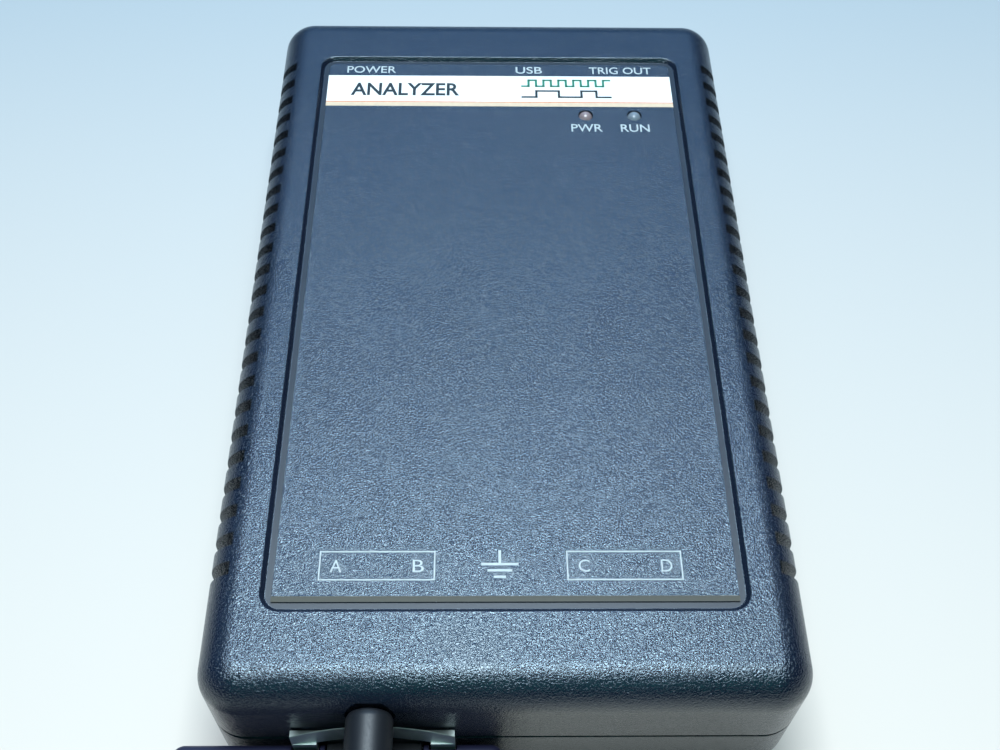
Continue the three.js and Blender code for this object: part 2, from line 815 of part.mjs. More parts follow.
place(pod, 'pod_top_cover', podTopCover(), podPlastic);
place(pod, 'pod_bottom_cover', podBottomCover(), podPlastic);
place(pod, 'pod_plug', podPlug(), blackPlastic);
place(pod, 'pod_yoke', podYoke(), zincSteel);
place(pod, 'pod_board', box(about(podMiddle, podBoardWidth), podBoardY, podBoardZ), solderMask);
[-podChipX, podChipX].forEach((x, i) => {
  const shape = chip(7, 7, 1.2);
  place(pod, `pod_chip_${i + 1}`, shape, blackPlastic, podMiddle + x, podChipY, podBoardZ[1] + gap);
});
place(pod, 'lead_header', leadHeader(), blackPlastic, podMiddle);
place(pod, 'thumbscrew', thumbscrew(), blackPlastic, 0, 0, screwZ);
podScrewPlaces().forEach((x, i) => {
  place(pod, `pod_screw_${i + 1}`, screw(podScrew), platedSteel, x, podScrewY, podBottom + podScrewSeat);
});

export default group;
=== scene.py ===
"""A hand-held bench logic analyzer with its probe pod plugged in.

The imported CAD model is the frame. This script gives its pieces their fine surfaces, prints, grain
and colours, and sets the floor, the light and the camera.
"""

import math

import bmesh
import bpy
from mathutils import Matrix, Vector


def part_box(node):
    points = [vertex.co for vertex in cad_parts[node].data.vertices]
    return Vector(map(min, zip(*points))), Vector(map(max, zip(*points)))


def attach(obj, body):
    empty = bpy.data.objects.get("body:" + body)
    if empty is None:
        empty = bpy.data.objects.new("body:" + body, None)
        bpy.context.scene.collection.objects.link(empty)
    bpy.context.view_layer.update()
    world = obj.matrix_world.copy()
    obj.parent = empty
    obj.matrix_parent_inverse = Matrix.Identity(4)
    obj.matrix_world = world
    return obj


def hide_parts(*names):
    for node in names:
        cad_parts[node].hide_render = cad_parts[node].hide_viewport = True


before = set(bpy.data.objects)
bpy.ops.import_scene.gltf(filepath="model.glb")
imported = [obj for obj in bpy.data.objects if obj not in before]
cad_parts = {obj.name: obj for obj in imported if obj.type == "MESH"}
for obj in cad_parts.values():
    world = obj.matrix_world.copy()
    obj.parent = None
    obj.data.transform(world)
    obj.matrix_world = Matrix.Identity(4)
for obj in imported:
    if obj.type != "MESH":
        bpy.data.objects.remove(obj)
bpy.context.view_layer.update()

MM = 0.001
TAU = 2 * math.pi

# ---- Sizes read from the frame, in metres ----

def middle_of(node):
    low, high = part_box(node)
    return (low + high) / 2


CASE_LOW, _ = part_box("bottom_shell")
TOP_LOW, CASE_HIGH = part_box("top_shell")
CASE_HALF_X = CASE_HIGH.x
CASE_HALF_Y = CASE_HIGH.y
GROOVE = 0.5 * MM
TOP_EDGE = TOP_LOW.z
BOTTOM_EDGE = TOP_EDGE - GROOVE
LABEL_LOW, LABEL_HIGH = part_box("panel_label")

# ---- Sizes of the moulding ----

EDGE_ROUND = 6 * MM
CORNER_ROUND = 6.6 * MM
WALL = 2.5 * MM
ROOF = 3 * MM
FLOOR_THICK = 2.5 * MM
RECESS_DEPTH = 0.9 * MM
RECESS_SLOPE = 0.6 * MM
LEDGE = 1.15 * MM
LABEL_CORNER = 1.5 * MM
VENT_COUNT = 24
VENT_PITCH = 5.178 * MM
VENT_WIDTH = 2.35 * MM
VENT_MIDDLE_Y = 2.35 * MM
VENT_INNER_X = 43.7 * MM
VENT_BOTTOM = 21 * MM
PRINT_LIFT = 0.02 * MM
PRINT_ROOT = 0.01 * MM
LAMPS = ("pwr_led", "run_led")


# ---- Mesh helpers ----

def mm(*points):
    """Points given in millimetres, in metres."""
    return [tuple(value * MM for value in point) for point in points]


def rod(radius, length):
    """The turned profile of a plain rod, from its radius and length in millimetres."""
    return mm((radius, 0), (radius, length))


def new_object(name, bm):
    """An object made of the bmesh, with its faces pointing out."""
    bmesh.ops.recalc_face_normals(bm, faces=bm.faces)
    mesh = bpy.data.meshes.new(name)
    bm.to_mesh(mesh)
    bm.free()
    piece = bpy.data.objects.new(name, mesh)
    bpy.context.scene.collection.objects.link(piece)
    return piece


def outline(half_x, half_y, radius, steps, centre=(0, 0)):
    """The points of a rounded rectangle, anticlockwise."""
    points = []
    corners = ((1, 1, 0), (-1, 1, 1), (-1, -1, 2), (1, -1, 3))
    for sign_x, sign_y, quarter in corners:
        middle_x = centre[0] + sign_x * (half_x - radius)
        middle_y = centre[1] + sign_y * (half_y - radius)
        for step in range(steps + 1):
            angle = (quarter + step / steps) * TAU / 4
            points.append((middle_x + radius * math.cos(angle), middle_y + radius * math.sin(angle)))
    return points


def add_loft(bm, loops, closed=False):
    """Bridges loops of equal length, each a list of 3-D points; closes both ends, or joins them."""
    rings = [[bm.verts.new(point) for point in loop] for loop in loops]
    count = len(rings[0])
    for low, high in zip(rings, rings[1:] + rings[:1] if closed else rings[1:]):
        for i in range(count):
            j = (i + 1) % count
            bm.faces.new((low[i], low[j], high[j], high[i]))
    if not closed:
        bm.faces.new(list(reversed(rings[0])))
        bm.faces.new(rings[-1])


def add_pillow(bm, half_x, half_y, corner, profile, steps=12, centre=(0, 0)):
    """A closed body over a rounded rectangle; the profile lists (inset, height) from the bottom up."""
    loops = []
    for inset, height in profile:
        radius = max(corner - inset, 0.05 * MM)
        points = outline(half_x - inset, half_y - inset, radius, steps, centre)
        loops.append([(x, y, height) for x, y in points])
    add_loft(bm, loops)


def quarter_round(radius, start_height, rising, steps=12):
    """Profile steps of a rounded edge: insets from 0 to radius as the height rises or falls."""
    direction = 1 if rising else -1
    steps_done = []
    for step in range(steps + 1):
        angle = step / steps * TAU / 4
        inset = radius * (1 - math.cos(angle))
        steps_done.append((inset, start_height + direction * radius * math.sin(angle)))
    return steps_done


def add_box(bm, low, high):
    """A closed box between two corners."""
    size = Vector(high) - Vector(low)
    middle = (Vector(high) + Vector(low)) / 2
    place = Matrix.Translation(middle) @ Matrix.Diagonal((*size, 1))
    bmesh.ops.create_cube(bm, size=1, matrix=place)


def axis_place(base, axis):
    """The matrix that stands a turned body on base, with its +Z along the named axis."""
    turns = {"z": 0, "y": -TAU / 4, "-y": TAU / 4}
    return Matrix.Translation(Vector(base)) @ Matrix.Rotation(turns[axis], 4, "X")


def add_turned(bm, profile, base, axis="z", sides=48):
    """A turned body: profile lists (radius, height) along the axis from base; both ends close."""
    place = axis_place(base, axis)
    loops = []
    for radius, height in profile:
        radius = max(radius, 0.01 * MM)
        angles = [TAU * i / sides for i in range(sides)]
        loops.append([place @ Vector((radius * math.cos(a), radius * math.sin(a), height)) for a in angles])
    add_loft(bm, loops)


def add_ring(bm, profile, base, axis, sides):
    """A turned ring whose profile closes on itself."""
    place = axis_place(base, axis)
    loops = []
    for i in range(sides):
        angle = TAU * i / sides
        loops.append([place @ Vector((r * math.cos(angle), r * math.sin(angle), h)) for r, h in profile])
    add_loft(bm, loops, closed=True)


def evaluated_mesh(piece):
    """The piece's mesh with its modifiers applied."""
    graph = bpy.context.evaluated_depsgraph_get()
    return bpy.data.meshes.new_from_object(piece.evaluated_get(graph))


def boolean(piece, tool, operation):
    """Joins the tool to the piece or cuts it out, and removes the tool."""
    modifier = piece.modifiers.new("boolean", "BOOLEAN")
    modifier.operation = operation
    modifier.solver = "EXACT"
    modifier.object = tool
    mesh = evaluated_mesh(piece)
    piece.modifiers.clear()
    piece.data = mesh
    bpy.data.objects.remove(tool)


def solid(name, build):
    """An object filled in by build(bm)."""
    bm = bmesh.new()
    build(bm)
    return new_object(name, bm)


def cut(piece, *builds):
    for build in builds:
        boolean(piece, solid("tool", build), "DIFFERENCE")


def join(piece, *builds):
    for build in builds:
        boolean(piece, solid("tool", build), "UNION")


def shade(piece, angle=32, bevel=0.0):
    """Smooth shading with crisp edges, and a small round on them where bevel is given."""
    bm = bmesh.new()
    bm.from_mesh(piece.data)
    bmesh.ops.remove_doubles(bm, verts=bm.verts, dist=0.002 * MM)
    bmesh.ops.dissolve_degenerate(bm, edges=bm.edges, dist=0.002 * MM)
    for face in bm.faces:
        face.smooth = True
    limit = math.radians(angle)
    for edge in bm.edges:
        edge.smooth = len(edge.link_faces) == 2 and edge.calc_face_angle(0) < limit
    bm.to_mesh(piece.data)
    bm.free()
    if bevel:
        modifier = piece.modifiers.new("edge_round", "BEVEL")
        modifier.width = bevel
        modifier.segments = 2
        modifier.limit_method = "ANGLE"
        modifier.angle_limit = limit
        modifier.harden_normals = True
        modifier.miter_outer = "MITER_ARC"
    else:
        modifier = piece.modifiers.new("weighted", "WEIGHTED_NORMAL")
        modifier.keep_sharp = True


def settle(piece, body, slot_name, material, replaced=()):
    """Gives the piece its material and body, and hides the CAD nodes that it stands for; slot_name is not
    used.
    """
    piece.data.materials.clear()
    piece.data.materials.append(material)
    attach(piece, body)
    if replaced:
        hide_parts(*replaced)


# ---- Materials ----

BACKDROP = (0.58, 0.73, 0.82)


class Nodes:
    """A short way to build a node tree."""

    def __init__(self, tree, output, coordinates):
        tree.nodes.clear()
        self.tree = tree
        self.output = self.add(output)
        self.coordinates = self.add("TexCoord").outputs[coordinates]

    def add(self, kind, settings=(), **inputs):
        """A new node; each input takes a value or the output of another node."""
        node = self.tree.nodes.new("ShaderNode" + kind)
        for name, value in settings:
            setattr(node, name, value)
        self.fill(node, **inputs)
        return node

    def fill(self, node, **inputs):
        for name, value in inputs.items():
            socket = node.inputs[name.replace("_", " ")]
            if isinstance(value, bpy.types.NodeSocket):
                self.tree.links.new(value, socket)
            else:
                socket.default_value = value

    def maths(self, operation, first, second):
        node = self.add("Math", [("operation", operation)])
        for socket, value in zip(node.inputs, (first, second)):
            if isinstance(value, bpy.types.NodeSocket):
                self.tree.links.new(value, socket)
            else:
                socket.default_value = value
        return node.outputs["Value"]

    def spread(self, source, low, high, from_low=0.3, from_high=0.7):
        """Maps a texture's middle range to low..high."""
        node = self.add("MapRange", From_Min=from_low, From_Max=from_high, To_Min=low, To_Max=high,
                        Value=source)
        return node.outputs["Result"]

    def plain_backdrop(self, shader, kind, share=None):
        """The shader, but plain and pale where it is looked at directly, by the share given."""
        factor = self.add("LightPath").outputs["Is Camera Ray"]
        if share is not None:
            factor = self.maths("MULTIPLY", factor, share)
        mix = self.add("MixShader", Fac=factor)
        self.tree.links.new(shader, mix.inputs[1])
        self.tree.links.new(self.add(kind, Color=(*BACKDROP, 1)).outputs[0], mix.inputs[2])
        self.fill(self.output, Surface=mix.outputs["Shader"])


class Finish(Nodes):
    """One material, with object coordinates."""

    def __init__(self, name):
        self.material = bpy.data.materials.new(name)
        self.material.use_nodes = True
        super().__init__(self.material.node_tree, "OutputMaterial", "Object")
        self.shader = self.add("BsdfPrincipled")
        self.fill(self.output, Surface=self.shader.outputs["BSDF"])

    def set(self, **inputs):
        self.fill(self.shader, **inputs)

    def noise(self, scale, detail=3.0, roughness=0.5, distortion=0.0, stretch=None):
        """A noise texture; stretch scales the coordinates along each axis."""
        vector = self.coordinates
        if stretch:
            vector = self.add("Mapping", Scale=stretch, Vector=vector).outputs["Vector"]
        node = self.add("TexNoise", Scale=scale, Detail=detail, Roughness=roughness,
                        Distortion=distortion, Vector=vector)
        return node.outputs["Fac"]

    def colour(self, factor, dark, light):
        node = self.add("Mix", [("data_type", "RGBA")], A=(*dark, 1), B=(*light, 1), Factor=factor)
        self.set(Base_Color=node.outputs["Result"])

    def mottle(self, scale, detail, dark, light):
        """Blends two colours by a soft noise."""
        self.colour(self.spread(self.noise(scale, detail), 0, 1), dark, light)

    def bump(self, height, distance):
        self.set(Normal=self.add("Bump", Distance=distance, Strength=1.0, Height=height).outputs["Normal"])


def grained(name, dark, light, grain, depth, roughness, wave, tint):
    """Moulded plastic with a wavy leather-like grain; grain is the size of one cell in metres."""
    nodes = Finish(name)
    size = 1 / grain
    ridges = nodes.noise(size * 0.9, 2.0, 0.55, wave, (1, 1.35, 1.2))
    cells = nodes.add("TexVoronoi", [("feature", "SMOOTH_F1")], Scale=size * 1.15, Smoothness=1.0,
                      Vector=nodes.coordinates)
    nodes.mottle(38, 4.0, dark, light)
    nodes.set(Roughness=nodes.spread(nodes.noise(size * 0.4, 2.0), *roughness),
              Specular_IOR_Level=0.95, Specular_Tint=(*tint, 1))
    ridges = nodes.maths("MULTIPLY", ridges, 1.4)
    pebbles = nodes.maths("MULTIPLY", cells.outputs["Distance"], 0.6)
    nodes.bump(nodes.maths("ADD", ridges, pebbles), depth)
    return nodes.material


def moulded(name, dark, light, roughness, sheen=0.5):
    """Plain moulded plastic or rubber with a faint matt speckle."""
    speck, depth = 0.25 * MM, 0.008 * MM
    nodes = Finish(name)
    nodes.mottle(60, 5.0, dark, light)
    fine = nodes.noise(1 / speck)
    nodes.set(Roughness=nodes.spread(fine, roughness - 0.06, roughness + 0.06), Specular_IOR_Level=sheen)
    nodes.bump(fine, depth)
    return nodes.material


def metal(name, dark, light, roughness, brushed=(1, 1, 1)):
    """Plated or machined metal with fine scratches along one direction."""
    nodes = Finish(name)
    nodes.mottle(120, 4.0, dark, light)
    lines = nodes.noise(2600, 3.0, 0.6, 0.0, brushed)
    nodes.set(Metallic=1.0, Roughness=nodes.spread(lines, roughness - 0.08, roughness + 0.1))
    nodes.bump(lines, 0.004 * MM)
    return nodes.material


def ink(name, base, roughness=0.45):
    """Screen-printed ink with a slight mottle."""
    nodes = Finish(name)
    nodes.mottle(900, 3.0, tuple(channel * 0.9 for channel in base), base)
    nodes.set(Roughness=roughness)
    nodes.bump(nodes.noise(2500, 2.0), 0.006 * MM)
    return nodes.material


CASE_PLASTIC = grained("case_plastic", (0.006, 0.009, 0.019), (0.009, 0.013, 0.027),
                       0.34 * MM, 0.078 * MM, (0.17, 0.24), wave=0.9, tint=(0.79, 0.92, 1.0))
LEDGE_PLASTIC = moulded("ledge_plastic", (0.012, 0.017, 0.026), (0.018, 0.024, 0.034), 0.42)
LABEL_FILM = grained("label_film", (0.01, 0.015, 0.028), (0.013, 0.019, 0.035),
                     0.32 * MM, 0.085 * MM, (0.2, 0.27), wave=0.7, tint=(0.81, 0.93, 1.0))
BLACK_PLASTIC = moulded("black_plastic", (0.006, 0.007, 0.009), (0.01, 0.011, 0.014), 0.46)
# A darker, duller copy of the black plastic, used on the plug: painted shade.
SHADED_BLACK_PLASTIC = moulded("shaded_black_plastic", (0.005, 0.006, 0.008), (0.008, 0.009, 0.011), 0.75, sheen=0.25)
POD_PLASTIC = moulded("pod_plastic", (0.012, 0.012, 0.034), (0.018, 0.018, 0.05), 0.5)
CHIP_PLASTIC = moulded("chip_plastic", (0.01, 0.01, 0.011), (0.018, 0.018, 0.02), 0.5)
WHITE_PLASTIC = moulded("white_plastic", (0.7, 0.68, 0.62), (0.8, 0.78, 0.72), 0.45)
FOOT_RUBBER = moulded("foot_rubber", (0.012, 0.012, 0.013), (0.022, 0.022, 0.024), 0.75)
PLATED_STEEL = metal("plated_steel", (0.5, 0.52, 0.52), (0.68, 0.7, 0.7), 0.3, (1, 1, 6))
ZINC_PLATE = metal("zinc_plate", (0.6, 0.66, 0.62), (0.76, 0.82, 0.78), 0.5, (0.3, 4, 4))
BRASS = metal("brass", (0.55, 0.38, 0.16), (0.72, 0.52, 0.24), 0.3)
GOLD_PLATE = metal("gold_plate", (0.68, 0.46, 0.16), (0.85, 0.62, 0.26), 0.26)
SOLDER_MASK = moulded("solder_mask", (0.008, 0.07, 0.028), (0.014, 0.1, 0.042), 0.3)
WHITE_INK = ink("white_ink", (0.46, 0.5, 0.5))
STRIP_INK = ink("strip_ink", (0.88, 0.87, 0.84), 0.5)
CREAM_INK = ink("cream_ink", (0.7, 0.53, 0.37), 0.5)
ORANGE_INK = ink("orange_ink", (0.7, 0.19, 0.05))
DARK_INK = ink("dark_ink", (0.012, 0.02, 0.022))
TEAL_INK = ink("teal_ink", (0.02, 0.2, 0.12))
# Painted shadow: a dark olive band along the label's near edge, in the shade of the recess wall.
OLIVE_PAINTED_SHADOW = ink("olive_painted_shadow", (0.05, 0.046, 0.03), 0.6)


# ---- Case shells ----

def add_case_half(bm, top):
    """One half of the case's outer body, rounded over its outer edge and eased at the split."""
    ease = mm((0.25, 0), (0.06, 0.07), (0, 0.25))
    if top:
        profile = [(inset, TOP_EDGE + rise) for inset, rise in ease]
        profile += quarter_round(EDGE_ROUND, CASE_HIGH.z - EDGE_ROUND, True, 14)
    else:
        profile = quarter_round(EDGE_ROUND, EDGE_ROUND, False, 14)[::-1]
        profile += [(inset, BOTTOM_EDGE - rise) for inset, rise in reversed(ease)]
    add_pillow(bm, CASE_HALF_X, CASE_HALF_Y, CORNER_ROUND, profile, 14)


def add_cavity(bm):
    """The hollow inside both shells."""
    radius = EDGE_ROUND - WALL
    low = quarter_round(radius, FLOOR_THICK + radius, False, 5)[::-1]
    high = quarter_round(radius, CASE_HIGH.z - ROOF - radius, True, 5)
    add_pillow(bm, CASE_HALF_X - WALL, CASE_HALF_Y - WALL, CORNER_ROUND - WALL, low + high, 6)


def add_recess(bm):
    """The sunk field of the label: a floor with a small round, a sloping wall and a rounded rim."""
    top = CASE_HIGH.z
    floor, rim = top - RECESS_DEPTH, top - 0.16 * MM
    profile = [(0.12 * MM, floor), (0.03 * MM, floor + 0.04 * MM), (-0.03 * MM, floor + 0.14 * MM),
               (-RECESS_SLOPE + 0.1 * MM, rim), (-RECESS_SLOPE - 0.02 * MM, rim + 0.1 * MM),
               (-RECESS_SLOPE - 0.16 * MM, top), (-RECESS_SLOPE - 0.16 * MM, top + MM)]
    add_pillow(bm, LABEL_HIGH.x + LEDGE, LABEL_HIGH.y + LEDGE, LABEL_CORNER + LEDGE, profile, 10)


def add_vents(bm):
    """Cutters for the slots down both long sides."""
    for i in range(VENT_COUNT):
        middle = VENT_MIDDLE_Y + (i - (VENT_COUNT - 1) / 2) * VENT_PITCH
        for side in (-1, 1):
            ends = sorted((side * VENT_INNER_X, side * (CASE_HALF_X + MM)))
            add_box(bm, (ends[0], middle - VENT_WIDTH / 2, VENT_BOTTOM),
                    (ends[1], middle + VENT_WIDTH / 2, CASE_HIGH.z + MM))


def add_end_openings(bm):
    """Cutters for the connectors in the far end wall."""
    gap = 0.4 * MM
    inside, outside = CASE_HALF_Y - WALL - 4 * MM, CASE_HALF_Y + MM
    for node in ("power_jack", "usb_socket"):
        low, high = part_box(node)
        add_box(bm, (low.x - gap, inside, low.z - gap), (high.x + gap, outside, high.z + gap))
    trigger = middle_of("trig_nut")
    add_turned(bm, rod(3.5, 8), (trigger.x, inside, trigger.z), "y")


def make_top_shell():
    shell = solid("case_top", lambda bm: add_case_half(bm, True))

    def small_holes(bm):
        """The holes for the lamps, and the hole and seat for the thumbscrew."""
        for lamp in LAMPS:
            middle = middle_of(lamp)
            add_turned(bm, rod(1.75, 6), (middle.x, middle.y, 28 * MM))
        screw = middle_of("thumbscrew")
        sleeve_seat = mm((1.9, 0), (1.9, 2.8), (3.85, 2.8), (3.85, 5))
        add_turned(bm, sleeve_seat, (screw.x, -CASE_HALF_Y + WALL + MM, screw.z), "-y")

    cut(shell, add_cavity, add_recess, add_vents, add_end_openings, small_holes)
    shade(shell, 28)
    settle(shell, "case", "case_plastic", CASE_PLASTIC, ["top_shell"])


def make_bottom_shell():
    shell = solid("case_bottom", lambda bm: add_case_half(bm, False))
    cut(shell, add_cavity)
    screws = [middle_of(f"case_screw_{i + 1}") for i in range(4)]

    def lip(bm):
        """The tongue round the split, which the top shell closes over."""
        lip_top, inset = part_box("bottom_shell")[1].z, 1.3 * MM
        profile = [(0, BOTTOM_EDGE - MM), (0, lip_top - 0.2 * MM), (0.2 * MM, lip_top)]
        add_pillow(bm, CASE_HALF_X - inset, CASE_HALF_Y - inset, CORNER_ROUND - inset, profile, 10)

    def posts(bm):
        for screw in screws:
            add_turned(bm, rod(4.4, 14.2), (screw.x, screw.y, 2 * MM))

    def port_opening(bm):
        low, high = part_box("probe_socket")
        add_box(bm, (low.x - 0.3 * MM, -CASE_HALF_Y - MM, 11.3 * MM),
                (high.x + 0.3 * MM, -CASE_HALF_Y + WALL + 4 * MM, BOTTOM_EDGE + MM))

    def screw_wells(bm):
        for screw in screws:
            add_turned(bm, mm((3.5, 0), (3.2, 1.3), (3.2, 8.5)), (screw.x, screw.y, -MM))
            add_turned(bm, rod(1.75, 12), (screw.x, screw.y, 8 * MM), sides=24)

    def foot_wells(bm):
        for i in range(4):
            foot = middle_of(f"foot_{i + 1}")
            add_turned(bm, rod(5.2, 1.85), (foot.x, foot.y, -MM))

    rim = solid("tool", lip)
    cut(rim, add_cavity)
    boolean(shell, rim, "UNION")
    join(shell, posts)
    cut(shell, add_end_openings, port_opening, screw_wells, foot_wells)
    shade(shell, 28)
    settle(shell, "case", "case_plastic", CASE_PLASTIC, ["bottom_shell"])


make_top_shell()
make_bottom_shell()


# ---- Label film and its prints, in millimetres ----

LABEL_X = (LABEL_LOW.x / MM, LABEL_HIGH.x / MM)
LABEL_FRONT = -LABEL_HIGH.y / MM
STRIP_Y = (49.8, 59.35)
STRIP_FOOT_Y = (STRIP_Y[0], STRIP_Y[0] + 1.15)
STRIP_LINE_Y = (51.0, 51.24)
# Where the painted shadow lies along the film's near edge.
FRONT_SHADOW_Y = (LABEL_FRONT + 0.05, LABEL_FRONT + 1.0)
PORT_BOX_Y = (-59.4, -54.3)
PORT_LETTER_Y = (-57.95, -55.85)
PORT_LETTER_WIDTH = 1.75
END_LEGEND_Y = (60.2, 62.35)
LAMP_LEGEND_Y = (42.3, 44.5)
CLOCK_LEVELS = (0, 1) * 6
DATA_LEVELS = (0, 0, 1, 1, 1, 0, 0, 0, 1, 1, 0, 0)


def make_label():
    """The film, from just above the recess floor, with holes over the lamps."""
    top = LABEL_HIGH.z
    profile = [(0, LABEL_LOW.z - 0.04 * MM), (0, top - 0.06 * MM), (0.05 * MM, top)]
    film = solid("label", lambda bm: add_pillow(bm, LABEL_HIGH.x, LABEL_HIGH.y, LABEL_CORNER, profile, 8))

    def lamp_holes(bm):
        for lamp in LAMPS:
            middle = middle_of(lamp)
            add_turned(bm, rod(1.56, 2), (middle.x, middle.y, LABEL_LOW.z - MM))

    cut(film, lamp_holes)
    shade(film, 30)
    settle(film, "case", "label_film", LABEL_FILM, ["panel_label"])


def make_ledge():
    """A smooth skin on the recess floor, which the moulding's grain stops short of."""
    floor = CASE_HIGH.z - RECESS_DEPTH
    low, high = floor - 0.1 * MM, floor + 0.01 * MM
    reach = LEDGE - 0.13 * MM
    outer = outline(LABEL_HIGH.x + reach, LABEL_HIGH.y + reach, LABEL_CORNER + reach, 8)
    inner = outline(LABEL_HIGH.x - MM, LABEL_HIGH.y - MM, 0.6 * MM, 8)
    sides = ((outer, low), (outer, high), (inner, high), (inner, low))
    loops = [[(x, y, z) for x, y in loop] for loop, z in sides]
    ring = solid("label_ledge", lambda bm: add_loft(bm, loops, closed=True))
    shade(ring, 30)
    settle(ring, "case", "case_plastic", LEDGE_PLASTIC)


def printed(name, bars, material, lift=PRINT_LIFT):
    """One piece of thin printed bars; each bar is ((x0, x1), (y0, y1))."""
    bm = bmesh.new()
    for x, y in bars:
        add_box(bm, (x[0] * MM, y[0] * MM, LABEL_HIGH.z - PRINT_ROOT),
                (x[1] * MM, y[1] * MM, LABEL_HIGH.z + lift))
    settle(new_object(name, bm), "case", "label_film", material)


def frame_bars(x, y, line):
    """The four bars of a printed box."""
    return [
        ((x[0], x[1]), (y[1] - line, y[1])),
        ((x[0], x[1]), (y[0], y[0] + line)),
        ((x[0], x[0] + line), (y[0] + line, y[1] - line)),
        ((x[1] - line, x[1]), (y[0] + line, y[1] - line)),
    ]


def legend(name, text, x, y, material, weight=0.0, lift=PRINT_LIFT):
    """Printed capitals that fill the box x by y."""
    curve = bpy.data.curves.new(name, "FONT")
    curve.body = text
    curve.size = 3 * MM
    curve.offset = weight * MM
    curve.extrude = (lift + PRINT_ROOT) / 2
    curve.resolution_u = 6
    source = bpy.data.objects.new(name + "_curve", curve)
    bpy.context.scene.collection.objects.link(source)
    bpy.context.view_layer.update()
    mesh = evaluated_mesh(source)
    bpy.data.objects.remove(source)
    corners = [vertex.co for vertex in mesh.vertices]
    low = Vector([min(corner[axis] for corner in corners) for axis in range(3)])
    high = Vector([max(corner[axis] for corner in corners) for axis in range(3)])
    scale_x = (x[1] - x[0]) * MM / (high.x - low.x)
    scale_y = (y[1] - y[0]) * MM / (high.y - low.y)
    place = Matrix.Translation((x[0] * MM, y[0] * MM, LABEL_HIGH.z - PRINT_ROOT))
    mesh.transform(place @ Matrix.Diagonal((scale_x, scale_y, 1, 1)) @ Matrix.Translation(-low))
    mesh.name = name
    piece = bpy.data.objects.new(name, mesh)
    bpy.context.scene.collection.objects.link(piece)
    settle(piece, "case", "label_film", material)


def timing_trace(y, levels):
    """The bars of one square-wave trace; levels is a row of 0 and 1."""
    left, step, rise, line = 4.6, 1.6, 1.9, 0.5
    bars = []
    for i, level in enumerate(levels):
        x, base = left + i * step, y + level * rise
        bars.append(((x, x + step), (base, base + line)))
        if i and levels[i - 1] != level:
            bars.append(((x - line / 2, x + line / 2), (y, y + rise + line)))
    return bars


def make_prints():
    """Everything printed on the film, and a painted shadow along its near edge."""
    raised = 2 * PRINT_LIFT
    printed("label_strip", [(LABEL_X, STRIP_Y)], STRIP_INK)
    printed("label_strip_foot", [(LABEL_X, STRIP_FOOT_Y)], CREAM_INK, 1.5 * PRINT_LIFT)
    printed("label_strip_line", [(LABEL_X, STRIP_LINE_Y)], ORANGE_INK, raised)
    # A painted shadow, not a print: a dark olive band along the film's near edge.
    printed("label_front_shadow", [(LABEL_X, FRONT_SHADOW_Y)], OLIVE_PAINTED_SHADOW)
    legend("strip_word", "ANALYZER", (-31.6, -8.6), (53.1, 57.0), DARK_INK, 0.06, raised)
    printed("strip_trace_clock", timing_trace(55.9, CLOCK_LEVELS), TEAL_INK, raised)
    printed("strip_trace_data", timing_trace(52.5, DATA_LEVELS), DARK_INK, raised)
    for name, text, x, y in (
        ("legend_power", "POWER", (-32.8, -22.3), END_LEGEND_Y),
        ("legend_usb", "USB", (3.5, 9.2), END_LEGEND_Y),
        ("legend_trig_out", "TRIG OUT", (19.4, 32.8), END_LEGEND_Y),
        ("legend_pwr", "PWR", (14.8, 21.3), LAMP_LEGEND_Y),
        ("legend_run", "RUN", (25.1, 31.1), LAMP_LEGEND_Y),
    ):
        legend(name, text, x, y, WHITE_INK, 0.02)
    for name, x in (("port_box_ab", (-29.6, -11.2)), ("port_box_cd", (9.7, 28.1))):
        printed(name, frame_bars(x, PORT_BOX_Y, 0.2), WHITE_INK)
    for letter, x in (("A", -27.8), ("B", -14.75), ("C", 11.6), ("D", 24.75)):
        x = (x, x + PORT_LETTER_WIDTH)
        legend(f"legend_{letter.lower()}", letter, x, PORT_LETTER_Y, WHITE_INK, -0.02)
    printed("ground_symbol", [
        ((-1.15, -0.75), (-56.4, -54.2)),
        ((-3.9, 2.0), (-56.8, -56.4)),
        ((-2.9, 1.0), (-57.9, -57.5)),
        ((-1.9, 0.0), (-59.0, -58.6)),
    ], WHITE_INK)


make_label()
make_ledge()
make_prints()


# ---- Lamps ----

def lens_material(name, tint):
    """A clear moulded lamp body, tinted by what is in it."""
    nodes = Finish(name)
    nodes.mottle(700, 3.0, tuple(channel * 0.8 for channel in tint), tint)
    nodes.set(Roughness=0.12, IOR=1.5, Transmission_Weight=0.35)
    nodes.bump(nodes.noise(900, 2.0), 0.01 * MM)
    return nodes.material


def make_lamp(node, tint):
    """A 3 mm lamp with a flange, a domed lens and two leads down to the board."""
    low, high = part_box(node)
    middle = (low + high) / 2
    flange = high.z - 5.5 * MM
    radius, lead = 1.5 * MM, 0.25 * MM
    profile = mm((1.9, 0), (1.9, 1), (1.5, 1.05), (1.5, 4))
    for i in range(1, 13):
        angle = i / 12 * TAU / 4
        profile.append((radius * math.cos(angle), 4 * MM + radius * math.sin(angle)))
    bm = bmesh.new()
    add_turned(bm, profile, (middle.x, middle.y, flange))
    for side in (-1, 1):
        x = middle.x + side * 1.27 * MM
        add_box(bm, (x - lead, middle.y - lead, low.z), (x + lead, middle.y + lead, flange + 0.2 * MM))
    lamp = new_object(node + "_lens", bm)
    shade(lamp, 40)
    settle(lamp, "case", "lamp_lens", lens_material(node + "_lens", tint), [node])


for lamp_name, lamp_tint in zip(LAMPS, ((0.42, 0.33, 0.34), (0.3, 0.36, 0.42))):
    make_lamp(lamp_name, lamp_tint)


# ---- Small turned and moulded pieces ----

